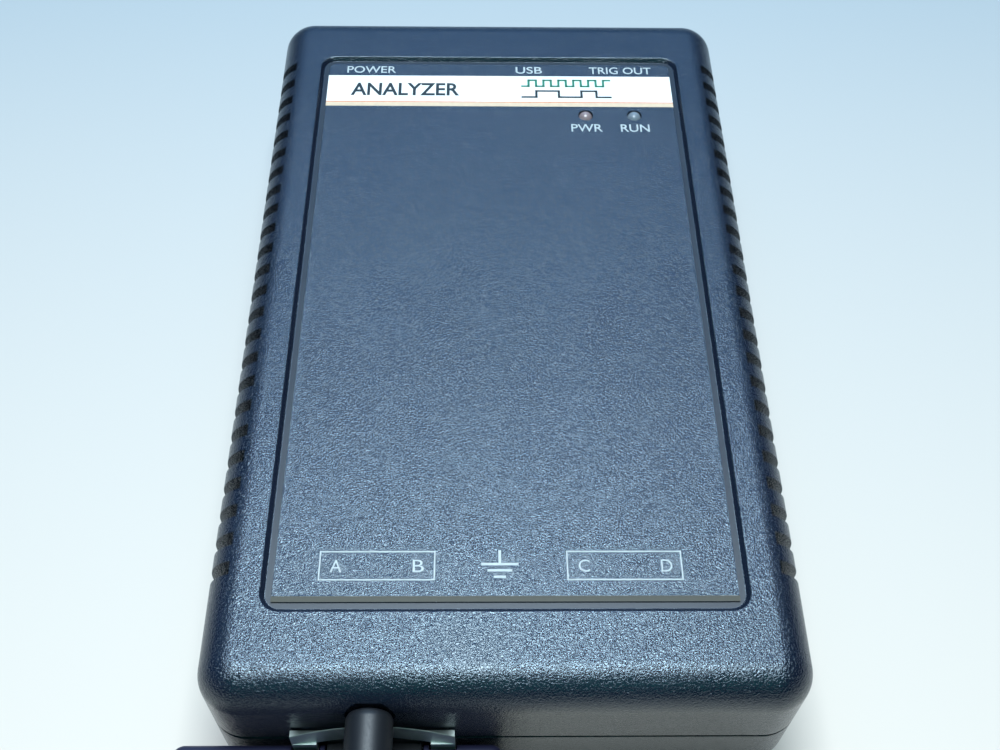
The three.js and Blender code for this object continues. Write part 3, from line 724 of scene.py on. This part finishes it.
def softened(points, radius, steps=3):
    """A turned profile with its middle corners rounded; points are (radius, height) in metres."""
    rounded = [points[0]]
    for before, corner, after in zip(points, points[1:], points[2:]):
        corner = Vector(corner)
        back, ahead = Vector(before) - corner, Vector(after) - corner
        reach = min(radius, back.length * 0.45, ahead.length * 0.45)
        start, end = corner + back.normalized() * reach, corner + ahead.normalized() * reach
        for step in range(steps + 1):
            t = step / steps
            rounded.append(tuple((1 - t) ** 2 * start + 2 * t * (1 - t) * corner + t ** 2 * end))
    rounded.append(points[-1])
    return rounded


def turned_piece(name, profile, base, axis, sides, *finish):
    """One turned piece; finish is its body, slot, material and the nodes that it replaces."""
    piece = solid(name, lambda bm: add_turned(bm, profile, base, axis, sides))
    shade(piece, 40)
    settle(piece, *finish)


def cut_cross(piece, base, size, depth):
    """Cuts a cross-shaped driver recess that tapers into the head, one bar at a time."""
    for turn in (0, TAU / 4):
        place = Matrix.Translation(base) @ Matrix.Rotation(turn, 4, "Z")
        loops = []
        for scale, level in ((1.0, -0.2 * MM), (0.45, depth)):
            half_long, half_wide = size * scale, size * 0.24 * (0.5 + scale / 2)
            corners = ((1, 1), (-1, 1), (-1, -1), (1, -1))
            loops.append([place @ Vector((x * half_long, y * half_wide, level)) for x, y in corners])
        cut(piece, lambda bm: add_loft(bm, loops))


def make_screw(node, body):
    """A pan-head screw, head down, with a cross recess."""
    low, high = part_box(node)
    middle = (low + high) / 2
    base = Vector((middle.x, middle.y, low.z))
    length = high.z - low.z
    head = (high.x - low.x) / 2
    rim, shank = 0.72 * head, head * 0.52
    dome = [(0, 0), (head * 0.55, 0.06 * MM), (head * 0.82, 0.22 * MM), (head, rim * 0.6), (head, rim),
            (shank, rim)]
    profile = softened(dome, 0.3 * MM) + [(shank, length - 0.7 * MM), (shank * 0.6, length), (0, length)]
    piece = solid(node + "_fine", lambda bm: add_turned(bm, profile, base, "z", 40))
    cut_cross(piece, base, shank, MM)
    shade(piece, 35)
    settle(piece, body, "plated_steel", PLATED_STEEL, [node])


def make_foot(node):
    low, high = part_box(node)
    middle = (low + high) / 2
    radius, height = (high.x - low.x) / 2, high.z - low.z
    points = [(0, 0.12 * MM), (radius * 0.55, 0.05 * MM), (radius - 0.55 * MM, 0), (radius, 0.6 * MM),
              (radius, height), (0, height)]
    turned_piece(node + "_pad", softened(points, 0.5 * MM, 5), (middle.x, middle.y, low.z), "z", 64,
                 "case", "foot_rubber", FOOT_RUBBER, [node])


def make_fasteners():
    for i in range(4):
        make_screw(f"case_screw_{i + 1}", "case")
        make_foot(f"foot_{i + 1}")
    for i in range(2):
        make_screw(f"pod_screw_{i + 1}", "pod")


# ---- Far-end connectors ----

def thread(radius, start, end, pitch, depth):
    """A turned profile of thread crests between two heights."""
    profile = []
    for i in range(int((end - start) / pitch)):
        base = start + i * pitch
        profile += [(radius - depth, base + 0.06 * pitch), (radius, base + 0.42 * pitch),
                    (radius, base + 0.58 * pitch), (radius - depth, base + 0.94 * pitch)]
    return profile


def make_power_jack():
    low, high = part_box("power_jack")
    pin_low, pin_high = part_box("power_jack_pin")
    pin = middle_of("power_jack_pin")
    body = solid("power_jack_body", lambda bm: add_box(bm, low, high))

    def bore(bm):
        profile = [(3.2 * MM, pin_low.y - high.y)] + mm((3.2, -0.4), (3.6, 0), (3.6, 1))
        add_turned(bm, profile, (pin.x, high.y, pin.z), "y", 56)

    cut(body, bore)
    shade(body, bevel=0.18 * MM)
    settle(body, "case", "black_plastic", BLACK_PLASTIC, ["power_jack"])
    length = pin_high.y - pin_low.y
    profile = softened([(0, 0), (MM, 0), (MM, length - 0.5 * MM), (0.55 * MM, length), (0, length)], 0.3 * MM)
    turned_piece("power_jack_contact", profile, (pin.x, high.y - 10.6 * MM, pin.z), "y", 32,
                 "case", "plated_steel", PLATED_STEEL, ["power_jack_pin"])


def make_usb_socket():
    low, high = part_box("usb_socket")
    middle_x = (low.x + high.x) / 2
    shell = solid("usb_shell", lambda bm: add_box(bm, low, high))

    def mouth(bm):
        half, chamfer = 4.2 * MM, 1.6 * MM
        bottom, top = low.z + 1.6 * MM, high.z - 1.6 * MM
        section = [(-half, bottom), (half, bottom), (half, top - chamfer), (half - chamfer, top),
                   (chamfer - half, top), (-half, top - chamfer)]
        depths = (high.y - 11 * MM, high.y + MM)
        add_loft(bm, [[(middle_x + x, y, z) for x, z in section] for y in depths])

    cut(shell, mouth)
    shade(shell, bevel=0.22 * MM)
    settle(shell, "case", "plated_steel", PLATED_STEEL, ["usb_socket"])
    tongue_low, tongue_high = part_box("usb_tongue")
    tongue = solid("usb_tongue_block", lambda bm: add_box(bm, tongue_low, tongue_high))
    shade(tongue, bevel=0.25 * MM)
    settle(tongue, "case", "white_plastic", WHITE_PLASTIC, ["usb_tongue"])
    bm = bmesh.new()
    for side, level in ((1, tongue_high.z), (-1, tongue_low.z)):
        z = sorted((level - side * 0.1 * MM, level + side * 0.06 * MM))
        for x in (middle_x - 1.25 * MM, middle_x + 1.25 * MM):
            add_box(bm, (x - 0.5 * MM, tongue_low.y + MM, z[0]),
                    (x + 0.5 * MM, tongue_high.y - 0.5 * MM, z[1]))
    contacts = new_object("usb_contacts", bm)
    shade(contacts, bevel=0.03 * MM)
    settle(contacts, "case", "gold_plate", GOLD_PLATE)


def make_trigger_socket():
    """A small threaded coaxial socket with its washer, nut, insulator and centre contact."""
    low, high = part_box("trig_socket")
    axis = middle_of("trig_nut")
    barrel_start, bore_start = 75.5 * MM, 77 * MM
    socket = solid("trigger_barrel", lambda bm: add_box(bm, low, (high.x, 76 * MM, high.z)))

    def barrel(bm):
        length = high.y - barrel_start
        profile = rod(2.9, 3.2) + thread(3.1 * MM, 3.3 * MM, length - 0.5 * MM, 0.6 * MM, 0.22 * MM)
        profile += [(2.8 * MM, length)]
        add_turned(bm, profile, (axis.x, barrel_start, axis.z), "y", 56)

    def bore(bm):
        profile = mm((2.3, 0), (2.3, 8.7), (2.6, 9.05), (2.6, 10))
        add_turned(bm, profile, (axis.x, bore_start, axis.z), "y")

    join(socket, barrel)
    cut(socket, bore)
    shade(socket, 28)
    settle(socket, "case", "gold_plate", GOLD_PLATE, ["trig_socket"])

    nut_low, nut_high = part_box("trig_nut")
    nut_base = (axis.x, nut_low.y, axis.z)
    thick = (nut_high.y - nut_low.y) / MM
    nut = solid("trigger_nut", lambda bm: add_turned(bm, rod(4.6, thick), nut_base, "y", 6))

    def chamfer(bm):
        profile = mm((4.05, 0), (4.62, 0.36), (4.62, thick - 0.36), (4.05, thick))
        add_turned(bm, profile, nut_base, "y", 64)

    def nut_bore(bm):
        profile = mm((3.5, -1), (3.5, 0), (3.15, 0.3), (3.15, thick - 0.3), (3.5, thick), (3.5, thick + 1))
        add_turned(bm, profile, nut_base, "y")

    boolean(nut, solid("tool", chamfer), "INTERSECT")
    cut(nut, nut_bore)
    shade(nut, 22)
    settle(nut, "case", "gold_plate", GOLD_PLATE, ["trig_nut"])

    washer_low, washer_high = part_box("trig_washer")
    thick = (washer_high.y - washer_low.y) / MM
    section = mm((3.4, 0), (4.6, 0), (4.7, 0.1), (4.7, thick - 0.1), (4.6, thick), (3.4, thick))
    washer = solid("trigger_washer",
                   lambda bm: add_ring(bm, section, (axis.x, washer_low.y, axis.z), "y", 64))
    shade(washer, 30)
    settle(washer, "case", "gold_plate", GOLD_PLATE, ["trig_washer"])

    turned_piece("trigger_insulator", mm((0, 0), (2.25, 0), (2.25, 1.8), (2.05, 1.95), (0, 1.95)),
                 (axis.x, bore_start + 0.05 * MM, axis.z), "y", 48,
                 "case", "white_plastic", WHITE_PLASTIC, ["trig_contact"])
    pin = softened(mm((0, 0), (0.6, 0), (0.6, 4.1), (0.3, 4.5), (0, 4.5)), 0.2 * MM)
    turned_piece("trigger_pin", pin, (axis.x, bore_start + 1.5 * MM, axis.z), "y", 24,
                 "case", "gold_plate", GOLD_PLATE)


# ---- Probe port ----

def make_port():
    """The probe socket in the near wall, its contacts and the thumbscrew's threaded insert."""
    low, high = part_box("probe_socket")
    middle_x = (low.x + high.x) / 2
    shell = solid("port_shell", lambda bm: add_box(bm, low, high))

    def mouth(bm):
        half, bottom, top = 7.9 * MM, 11.6 * MM, 16 * MM
        loops = []
        for y, flare in ((-66.6 * MM, 0), (low.y + 0.5 * MM, 0), (low.y, 0.35 * MM), (low.y - MM, 0.35 * MM)):
            left, right = middle_x - half - flare, middle_x + half + flare
            foot, head = bottom - flare / 2, top + flare
            loops.append([(left, y, foot), (right, y, foot), (right, y, head), (left, y, head)])
        add_loft(bm, loops)

    cut(shell, mouth)
    shade(shell, bevel=0.15 * MM)
    settle(shell, "case", "black_plastic", BLACK_PLASTIC, ["probe_socket"])

    blade_low, blade_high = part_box("probe_contacts")
    skin = Vector((0, 0, 0.1 * MM))
    blade = solid("port_blade", lambda bm: add_box(bm, blade_low + skin, blade_high - skin))
    shade(blade, bevel=0.15 * MM)
    settle(blade, "case", "black_plastic", BLACK_PLASTIC, ["probe_contacts"])
    bm = bmesh.new()
    count, pitch, half = 20, 0.66 * MM, 0.19 * MM
    for i in range(count):
        x = middle_x + (i - (count - 1) / 2) * pitch
        add_box(bm, (x - half, blade_low.y + 0.35 * MM, blade_low.z + 0.03 * MM),
                (x + half, blade_high.y - 0.2 * MM, blade_high.z - 0.03 * MM))
    strips = new_object("port_contacts", bm)
    shade(strips, bevel=0.03 * MM)
    settle(strips, "case", "gold_plate", GOLD_PLATE)

    insert_low, insert_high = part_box("screw_insert")
    insert = middle_of("screw_insert")
    length = (insert_high.y - insert_low.y) / MM
    profile = mm((1.85, 0), (2.4, 0), (2.5, 0.15), (2.5, 1.2), (2.3, 1.4), (2.3, 2.0), (2.5, 2.2),
                 (2.5, length - 0.3), (2.3, length), (1.85, length))
    bore = thread(1.85 * MM, 0.2 * MM, (length - 0.2) * MM, 0.5 * MM, 0.22 * MM)
    base = (insert.x, insert_low.y, insert.z)
    piece = solid("port_insert", lambda bm: add_ring(bm, profile + bore[::-1], base, "y", 40))
    shade(piece, 30)
    settle(piece, "case", "brass", BRASS, ["screw_insert"])


# ---- Probe pod ----

POD_LOW, POD_BOTTOM_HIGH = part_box("pod_bottom_cover")
POD_TOP_LOW, POD_FORK_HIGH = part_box("pod_top_cover")
POD_REAR = POD_BOTTOM_HIGH.y
POD_FACE = 15.9 * MM
POD_WALL = 1.8 * MM
POD_ROUND = 1.5 * MM
POD_MIDDLE = ((POD_LOW.x + POD_BOTTOM_HIGH.x) / 2, (POD_LOW.y + POD_REAR) / 2)
POD_HALF_X = (POD_BOTTOM_HIGH.x - POD_LOW.x) / 2
POD_HALF_Y = (POD_REAR - POD_LOW.y) / 2
SCREW_AXIS = middle_of("thumbscrew")
PORT = Vector((SCREW_AXIS.x, POD_REAR, 0))


def place_box(bm, x, y, z):
    """A box given by its spans in millimetres, measured from the port's axis and the pod's rear."""
    add_box(bm, (PORT.x + x[0] * MM, PORT.y + y[0] * MM, z[0] * MM),
            (PORT.x + x[1] * MM, PORT.y + y[1] * MM, z[1] * MM))


def pod_profile(top):
    """The outer profile of one pod cover: rounded outside, slightly eased at the split."""
    if top:
        ease = [(0.15 * MM, POD_TOP_LOW.z), (0, POD_TOP_LOW.z + 0.15 * MM)]
        return ease + quarter_round(POD_ROUND, POD_FACE - POD_ROUND, True, 8)
    ease = [(0, POD_BOTTOM_HIGH.z - 0.15 * MM), (0.15 * MM, POD_BOTTOM_HIGH.z)]
    return quarter_round(POD_ROUND, POD_LOW.z + POD_ROUND, False, 8)[::-1] + ease


def pod_cover(name, top):
    """One hollow cover, open at the split, with its share of the lead header's window."""
    cover = solid(name, lambda bm: add_pillow(bm, POD_HALF_X, POD_HALF_Y, 2.0 * MM, pod_profile(top), 8,
                                              POD_MIDDLE))

    def hollow(bm):
        profile = [(0, POD_LOW.z + POD_WALL), (0, POD_FACE - POD_WALL)]
        add_pillow(bm, POD_HALF_X - POD_WALL, POD_HALF_Y - POD_WALL, 0.6 * MM, profile, 4, POD_MIDDLE)

    def header_window(bm):
        low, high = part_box("lead_header")
        edge = 0.3 * MM
        add_box(bm, (low.x - edge, POD_LOW.y - MM, 5.7 * MM),
                (high.x + edge, POD_LOW.y + 4 * MM, high.z + edge))

    cut(cover, hollow, header_window)
    return cover


def make_pod_top():
    cover = pod_cover("pod_top", True)

    def notches(bm):
        place_box(bm, (-7.8, 7.8), (-6.3, 2), (11.6, 17))
        for side in (-1, 1):
            place_box(bm, sorted((side * 13.1, side * 8.6)), (-1.1, 2), (9.7, 17))

    def fork(bm):
        """A plate with rounded shoulders and a U-shaped seat for the neck of the thumbscrew."""
        half, seat, shoulder = 6 * MM, 2.9 * MM, 1.6 * MM
        level, top, foot = SCREW_AXIS.z, POD_FORK_HIGH.z, POD_FACE - MM

        def arc(x, z, radius, start, turn, steps):
            """Points round a centre; start and turn are in quarter turns."""
            angles = [(start + turn * step / steps) * TAU / 4 for step in range(steps + 1)]
            return [(x + radius * math.cos(angle), z + radius * math.sin(angle)) for angle in angles]

        section = [(-half, foot), (half, foot), *arc(half - shoulder, top - shoulder, shoulder, 0, 1, 6),
                   (seat, top), *arc(0, level, seat, 0, -2, 16), (-seat, top),
                   *arc(shoulder - half, top - shoulder, shoulder, 1, 1, 6)]
        y = (PORT.y - 12 * MM, PORT.y - 9 * MM)
        add_loft(bm, [[(PORT.x + x, depth, z) for x, z in section] for depth in y])

    join(cover, fork)
    cut(cover, notches)
    shade(cover, 30, 0.12 * MM)
    settle(cover, "pod", "pod_plastic", POD_PLASTIC, ["pod_top_cover"])


def make_pod_bottom():
    cover = pod_cover("pod_bottom", False)
    screws = [middle_of(f"pod_screw_{i + 1}") for i in range(2)]

    def posts(bm):
        for screw in screws:
            add_turned(bm, rod(3.2, 5), (screw.x, screw.y, POD_LOW.z + MM), "z", 32)

    def screw_wells(bm):
        for screw in screws:
            add_turned(bm, mm((2.7, 0), (2.4, 0.6), (2.4, 2.9)),
                       (screw.x, screw.y, POD_LOW.z - 0.3 * MM), "z", 40)

    join(cover, posts)
    cut(cover, screw_wells)
    shade(cover, 30, 0.12 * MM)
    settle(cover, "pod", "pod_plastic", POD_PLASTIC, ["pod_bottom_cover"])


def make_plug():
    """The plug's flat body, with a slot over the port's contacts and two keying grooves."""
    plug = solid("plug_body", lambda bm: place_box(bm, (-7.5, 7.5), (-6, 12.4), (11.9, 15.7)))

    def slot(bm):
        place_box(bm, (-7.2, 7.2), (4, 14), (13, 14.6))

    def grooves(bm):
        for x in (-5.2, 5.2):
            place_box(bm, (x - 0.5, x + 0.5), (1.2, 14), (15.3, 16))

    cut(plug, slot, grooves)
    shade(plug, bevel=0.16 * MM)
    # The plug takes the darker, duller copy of the black plastic: painted shade.
    settle(plug, "pod", "black_plastic", SHADED_BLACK_PLASTIC, ["pod_plug"])


def make_yoke():
    """The arched sheet-metal yoke: its face bows in towards the sleeve, on two legs."""
    low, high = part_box("pod_yoke")
    half = (high.x - low.x) / 2
    rear, thick = high.y, high.y - low.y
    foot, end_top = POD_FACE + 0.08 * MM, POD_FACE + 4.9 * MM
    rise, bow, clearance = 2.2 * MM, 0.85 * MM, 3.95 * MM
    steps = 48
    loops = []
    for i in range(steps + 1):
        x = -half + 2 * half * i / steps
        arch = 1 - (x / half) ** 2
        front, bottom, top = rear - thick + bow * arch, foot + rise * arch, end_top + rise * arch
        if abs(x) < clearance:
            top = min(top, SCREW_AXIS.z - math.sqrt(clearance ** 2 - x ** 2))
        section = [(front, bottom), (front, top - 0.12 * MM), (front + 0.1 * MM, top),
                   (rear, min(end_top, top)), (rear, bottom)]
        loops.append([(PORT.x + x, y, z) for y, z in section])
    strip = solid("yoke_strip", lambda bm: add_loft(bm, loops))

    def legs(bm):
        for side in (-1, 1):
            x = sorted((side * half, side * (half - 3.8 * MM)))
            add_box(bm, (PORT.x + x[0], low.y, low.z), (PORT.x + x[1], high.y, foot + 1.4 * MM))

    join(strip, legs)
    shade(strip, 24)
    settle(strip, "pod", "zinc_plate", ZINC_PLATE, ["pod_yoke"])


def make_header():
    """The pod's two-row pin header: eighteen eased segments and square gold pins."""
    low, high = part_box("lead_header")
    count = 18
    pitch = (high.x - low.x) / count
    rear, front = POD_LOW.y + 3.8 * MM, POD_LOW.y + 1.2 * MM
    middle_z = (low.z + high.z) / 2
    ease = 0.42 * MM
    bm = bmesh.new()
    for i in range(count):
        x0, x1 = low.x + i * pitch, low.x + (i + 1) * pitch
        for z0, z1 in ((low.z, middle_z), (middle_z, high.z)):
            section = [(x0 + ease, z0), (x1 - ease, z0), (x1, z0 + ease), (x1, z1 - ease), (x1 - ease, z1),
                       (x0 + ease, z1), (x0, z1 - ease), (x0, z0 + ease)]
            add_loft(bm, [[(x, y, z) for x, z in section] for y in (front, rear)])
    housing = new_object("header_housing", bm)
    shade(housing, 30)
    settle(housing, "pod", "black_plastic", BLACK_PLASTIC, ["lead_header"])
    bm = bmesh.new()
    for i in range(count):
        x = low.x + (i + 0.5) * pitch
        for z in (7.38 * MM, 9.92 * MM):
            loops = []
            for y, half in ((low.y, 0.16 * MM), (low.y + 0.45 * MM, 0.32 * MM), (rear + 2 * MM, 0.32 * MM)):
                loops.append([(x - half, y, z - half), (x + half, y, z - half),
                              (x + half, y, z + half), (x - half, y, z + half)])
            add_loft(bm, loops)
    pins = new_object("header_pins", bm)
    shade(pins, 30)
    settle(pins, "pod", "gold_plate", GOLD_PLATE)


def make_thumbscrew():
    """A knurled knob, a neck, the long plain sleeve and a threaded tip, about the Y axis."""
    axis = (SCREW_AXIS.x, PORT.y, SCREW_AXIS.z)
    knob, sleeve, neck, tip = 5.5, 3.65, 2.6, 1.45
    start, stop, neck_end = -21, -12.3, -8.7
    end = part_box("thumbscrew")[1].y - PORT.y
    dish = mm((0, start + 0.35), (3.4, start + 0.35), (3.8, start), (4.9, start), (knob - 0.35, start + 0.55))
    collar = mm((knob - 0.35, stop - 0.55), (4.9, stop), (neck, stop))
    shank = mm((neck, neck_end), (sleeve - 0.25, neck_end), (sleeve, neck_end + 0.25), (sleeve, -0.2),
               (sleeve - 0.35, 0.6), (sleeve - 1.3, 1), (tip, 1))
    profile = softened(dish, 0.2 * MM) + softened(collar, 0.2 * MM) + softened(shank, 0.35 * MM)
    profile += thread(tip * MM, 1.3 * MM, end - 0.7 * MM, 0.5 * MM, 0.2 * MM)
    profile += [(0.9 * MM, end), (0, end)]
    screw = solid("thumbscrew_body", lambda bm: add_turned(bm, profile, axis, "y", 72))

    def driver_slot(bm):
        add_box(bm, (axis[0] - 3.2 * MM, axis[1] + (start - 1) * MM, axis[2] - 0.5 * MM),
                (axis[0] + 3.2 * MM, axis[1] + (start + 1.4) * MM, axis[2] + 0.5 * MM))

    cut(screw, driver_slot)
    shade(screw, 32)
    settle(screw, "thumbscrew", "black_plastic", BLACK_PLASTIC, ["thumbscrew"])

    ridges = 44
    loops = []
    for height, depth in ((start + 0.5, 0.42), (start + 0.95, 0.0), (stop - 0.95, 0.0), (stop - 0.5, 0.42)):
        loop = []
        for i in range(ridges * 4):
            radius = (knob - depth - (0.0, 0.3, 0.3, 0.0)[i % 4]) * MM
            angle = TAU * i / (ridges * 4)
            loop.append((axis[0] + radius * math.cos(angle), axis[1] + height * MM,
                         axis[2] + radius * math.sin(angle)))
        loops.append(loop)
    knurl = solid("thumbscrew_knurl", lambda bm: add_loft(bm, loops))
    shade(knurl, 30)
    settle(knurl, "thumbscrew", "black_plastic", BLACK_PLASTIC)


for make in (make_fasteners, make_power_jack, make_usb_socket, make_trigger_socket, make_port,
             make_pod_top, make_pod_bottom, make_plug, make_yoke, make_header, make_thumbscrew):
    make()


# ---- CAD pieces that keep their own shape: the boards and what stands on them ----

KEPT = (
    (CHIP_PLASTIC, ("logic_chip", "memory_chip_1", "memory_chip_2", "usb_chip", "port_buffer_1",
                    "port_buffer_2", "regulator", "pod_chip_1", "pod_chip_2")),
    (PLATED_STEEL, ("crystal", "capacitor_1", "capacitor_2", "board_screw_1", "board_screw_2",
                    "board_screw_3", "board_screw_4")),
    (SOLDER_MASK, ("main_board", "pod_board")),
)
for finish, node_names in KEPT:
    for node_name in node_names:
        node_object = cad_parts[node_name]
        node_object.data.materials.clear()
        node_object.data.materials.append(finish)


# ---- Floor, light and camera ----

FEET_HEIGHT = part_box("foot_1")[0].z
BENCH_HALF = 3.0
# The far colour is painted shade: darker and bluer than the near one.
BENCH_NEAR, BENCH_FAR_PAINTED_SHADE = (0.74, 0.62, 0.52), (0.36, 0.41, 0.44)


def make_floor():
    """A plain pale bench top, with painted shade that makes it darker and a little bluer towards the far
    side; it fades into the backdrop.
    """
    bm = bmesh.new()
    corners = ((-1, -1), (1, -1), (1, 1), (-1, 1))
    bm.faces.new([bm.verts.new((x * BENCH_HALF, y * BENCH_HALF, FEET_HEIGHT)) for x, y in corners])
    floor = new_object("floor", bm)
    nodes = Finish("floor")
    across = nodes.add("SeparateXYZ", Vector=nodes.coordinates).outputs["Y"]
    # Painted shade: the colour runs from the near tone to the darker, bluer far tone.
    nodes.colour(nodes.spread(across, 0, 1, -0.12, 0.16), BENCH_NEAR, BENCH_FAR_PAINTED_SHADE)
    nodes.set(Roughness=0.6)
    radius = nodes.add("VectorMath", [("operation", "LENGTH")])
    nodes.tree.links.new(nodes.coordinates, radius.inputs[0])
    away = nodes.spread(radius.outputs["Value"], 0, 1, 0.22, 0.9)
    nodes.plain_backdrop(nodes.shader.outputs["BSDF"], "Emission", away)
    floor.data.materials.append(nodes.material)


class Sky(Nodes):
    """Light from all round, as soft lobes added to a dim level."""

    def __init__(self, level):
        world = bpy.data.worlds.new("studio")
        bpy.context.scene.world = world
        world.use_nodes = True
        super().__init__(world.node_tree, "OutputWorld", "Generated")
        self.total = self.add("Background", Color=(*level, 1), Strength=1.0).outputs["Background"]

    def lobe(self, azimuth, elevation, spread, colour, strength):
        """A soft patch; azimuth is degrees from +Y towards +X, spread its half width in degrees."""
        azimuth, elevation = math.radians(azimuth), math.radians(elevation)
        flat = math.cos(elevation)
        dot = self.add("VectorMath", [("operation", "DOT_PRODUCT")])
        self.tree.links.new(self.coordinates, dot.inputs[0])
        dot.inputs[1].default_value = (flat * math.sin(azimuth), flat * math.cos(azimuth),
                                       math.sin(elevation))
        fade = self.add("MapRange", [("interpolation_type", "SMOOTHSTEP")], To_Max=strength,
                        From_Min=math.cos(math.radians(spread)), Value=dot.outputs["Value"])
        patch = self.add("Background", Color=(*colour, 1), Strength=fade.outputs["Result"])
        both = self.add("AddShader")
        self.tree.links.new(self.total, both.inputs[0])
        self.tree.links.new(patch.outputs["Background"], both.inputs[1])
        self.total = both.outputs["Shader"]


def make_world():
    """Blue light from the far side, a little teal from behind the viewer, dim elsewhere."""
    sky = Sky((0.009, 0.018, 0.028))
    sky.lobe(-5, 64, 42, (0.45, 0.7, 1.0), 0.95)
    sky.lobe(0, 40, 40, (0.14, 0.46, 1.0), 0.95)
    sky.lobe(176, 50, 26, (0.06, 0.8, 0.6), 0.7)
    sky.lobe(-90, 30, 40, (0.1, 0.4, 0.9), 0.2)
    sky.plain_backdrop(sky.total, "Background")


def area_light(name, place, target, size, power, colour):
    data = bpy.data.lights.new(name, "AREA")
    data.shape = "RECTANGLE"
    data.size, data.size_y = size
    data.energy = power
    data.color = colour
    lamp = bpy.data.objects.new(name, data)
    lamp.location = place
    lamp.rotation_mode = "QUATERNION"
    lamp.rotation_quaternion = (Vector(target) - Vector(place)).to_track_quat("-Z", "Y")
    bpy.context.scene.collection.objects.link(lamp)


def make_camera():
    """The camera stands over the near end and looks down along the case."""
    pitch, roll, yaw = math.radians(54.51), math.radians(1.42), math.radians(-1.66)
    data = bpy.data.cameras.new("camera")
    data.sensor_width = 36
    data.lens = 42.84
    data.clip_start, data.clip_end = 0.01, 20
    camera = bpy.data.objects.new("camera", data)
    turn = Matrix.Rotation(yaw, 4, "Z") @ Matrix.Rotation(math.pi / 2 - pitch, 4, "X")
    turn = turn @ Matrix.Rotation(roll, 4, "Z")
    camera.matrix_world = Matrix.Translation((-0.00413, -0.14186, 0.20378)) @ turn
    bpy.context.scene.collection.objects.link(camera)
    bpy.context.scene.camera = camera


make_floor()
make_world()
area_light("softbox", (-0.01, 0.03, 0.8), (-0.01, 0.0, 0), (0.42, 0.3), 10.2, (0.78, 0.92, 1.0))
make_camera()
bpy.context.scene.view_settings.view_transform = "Standard"
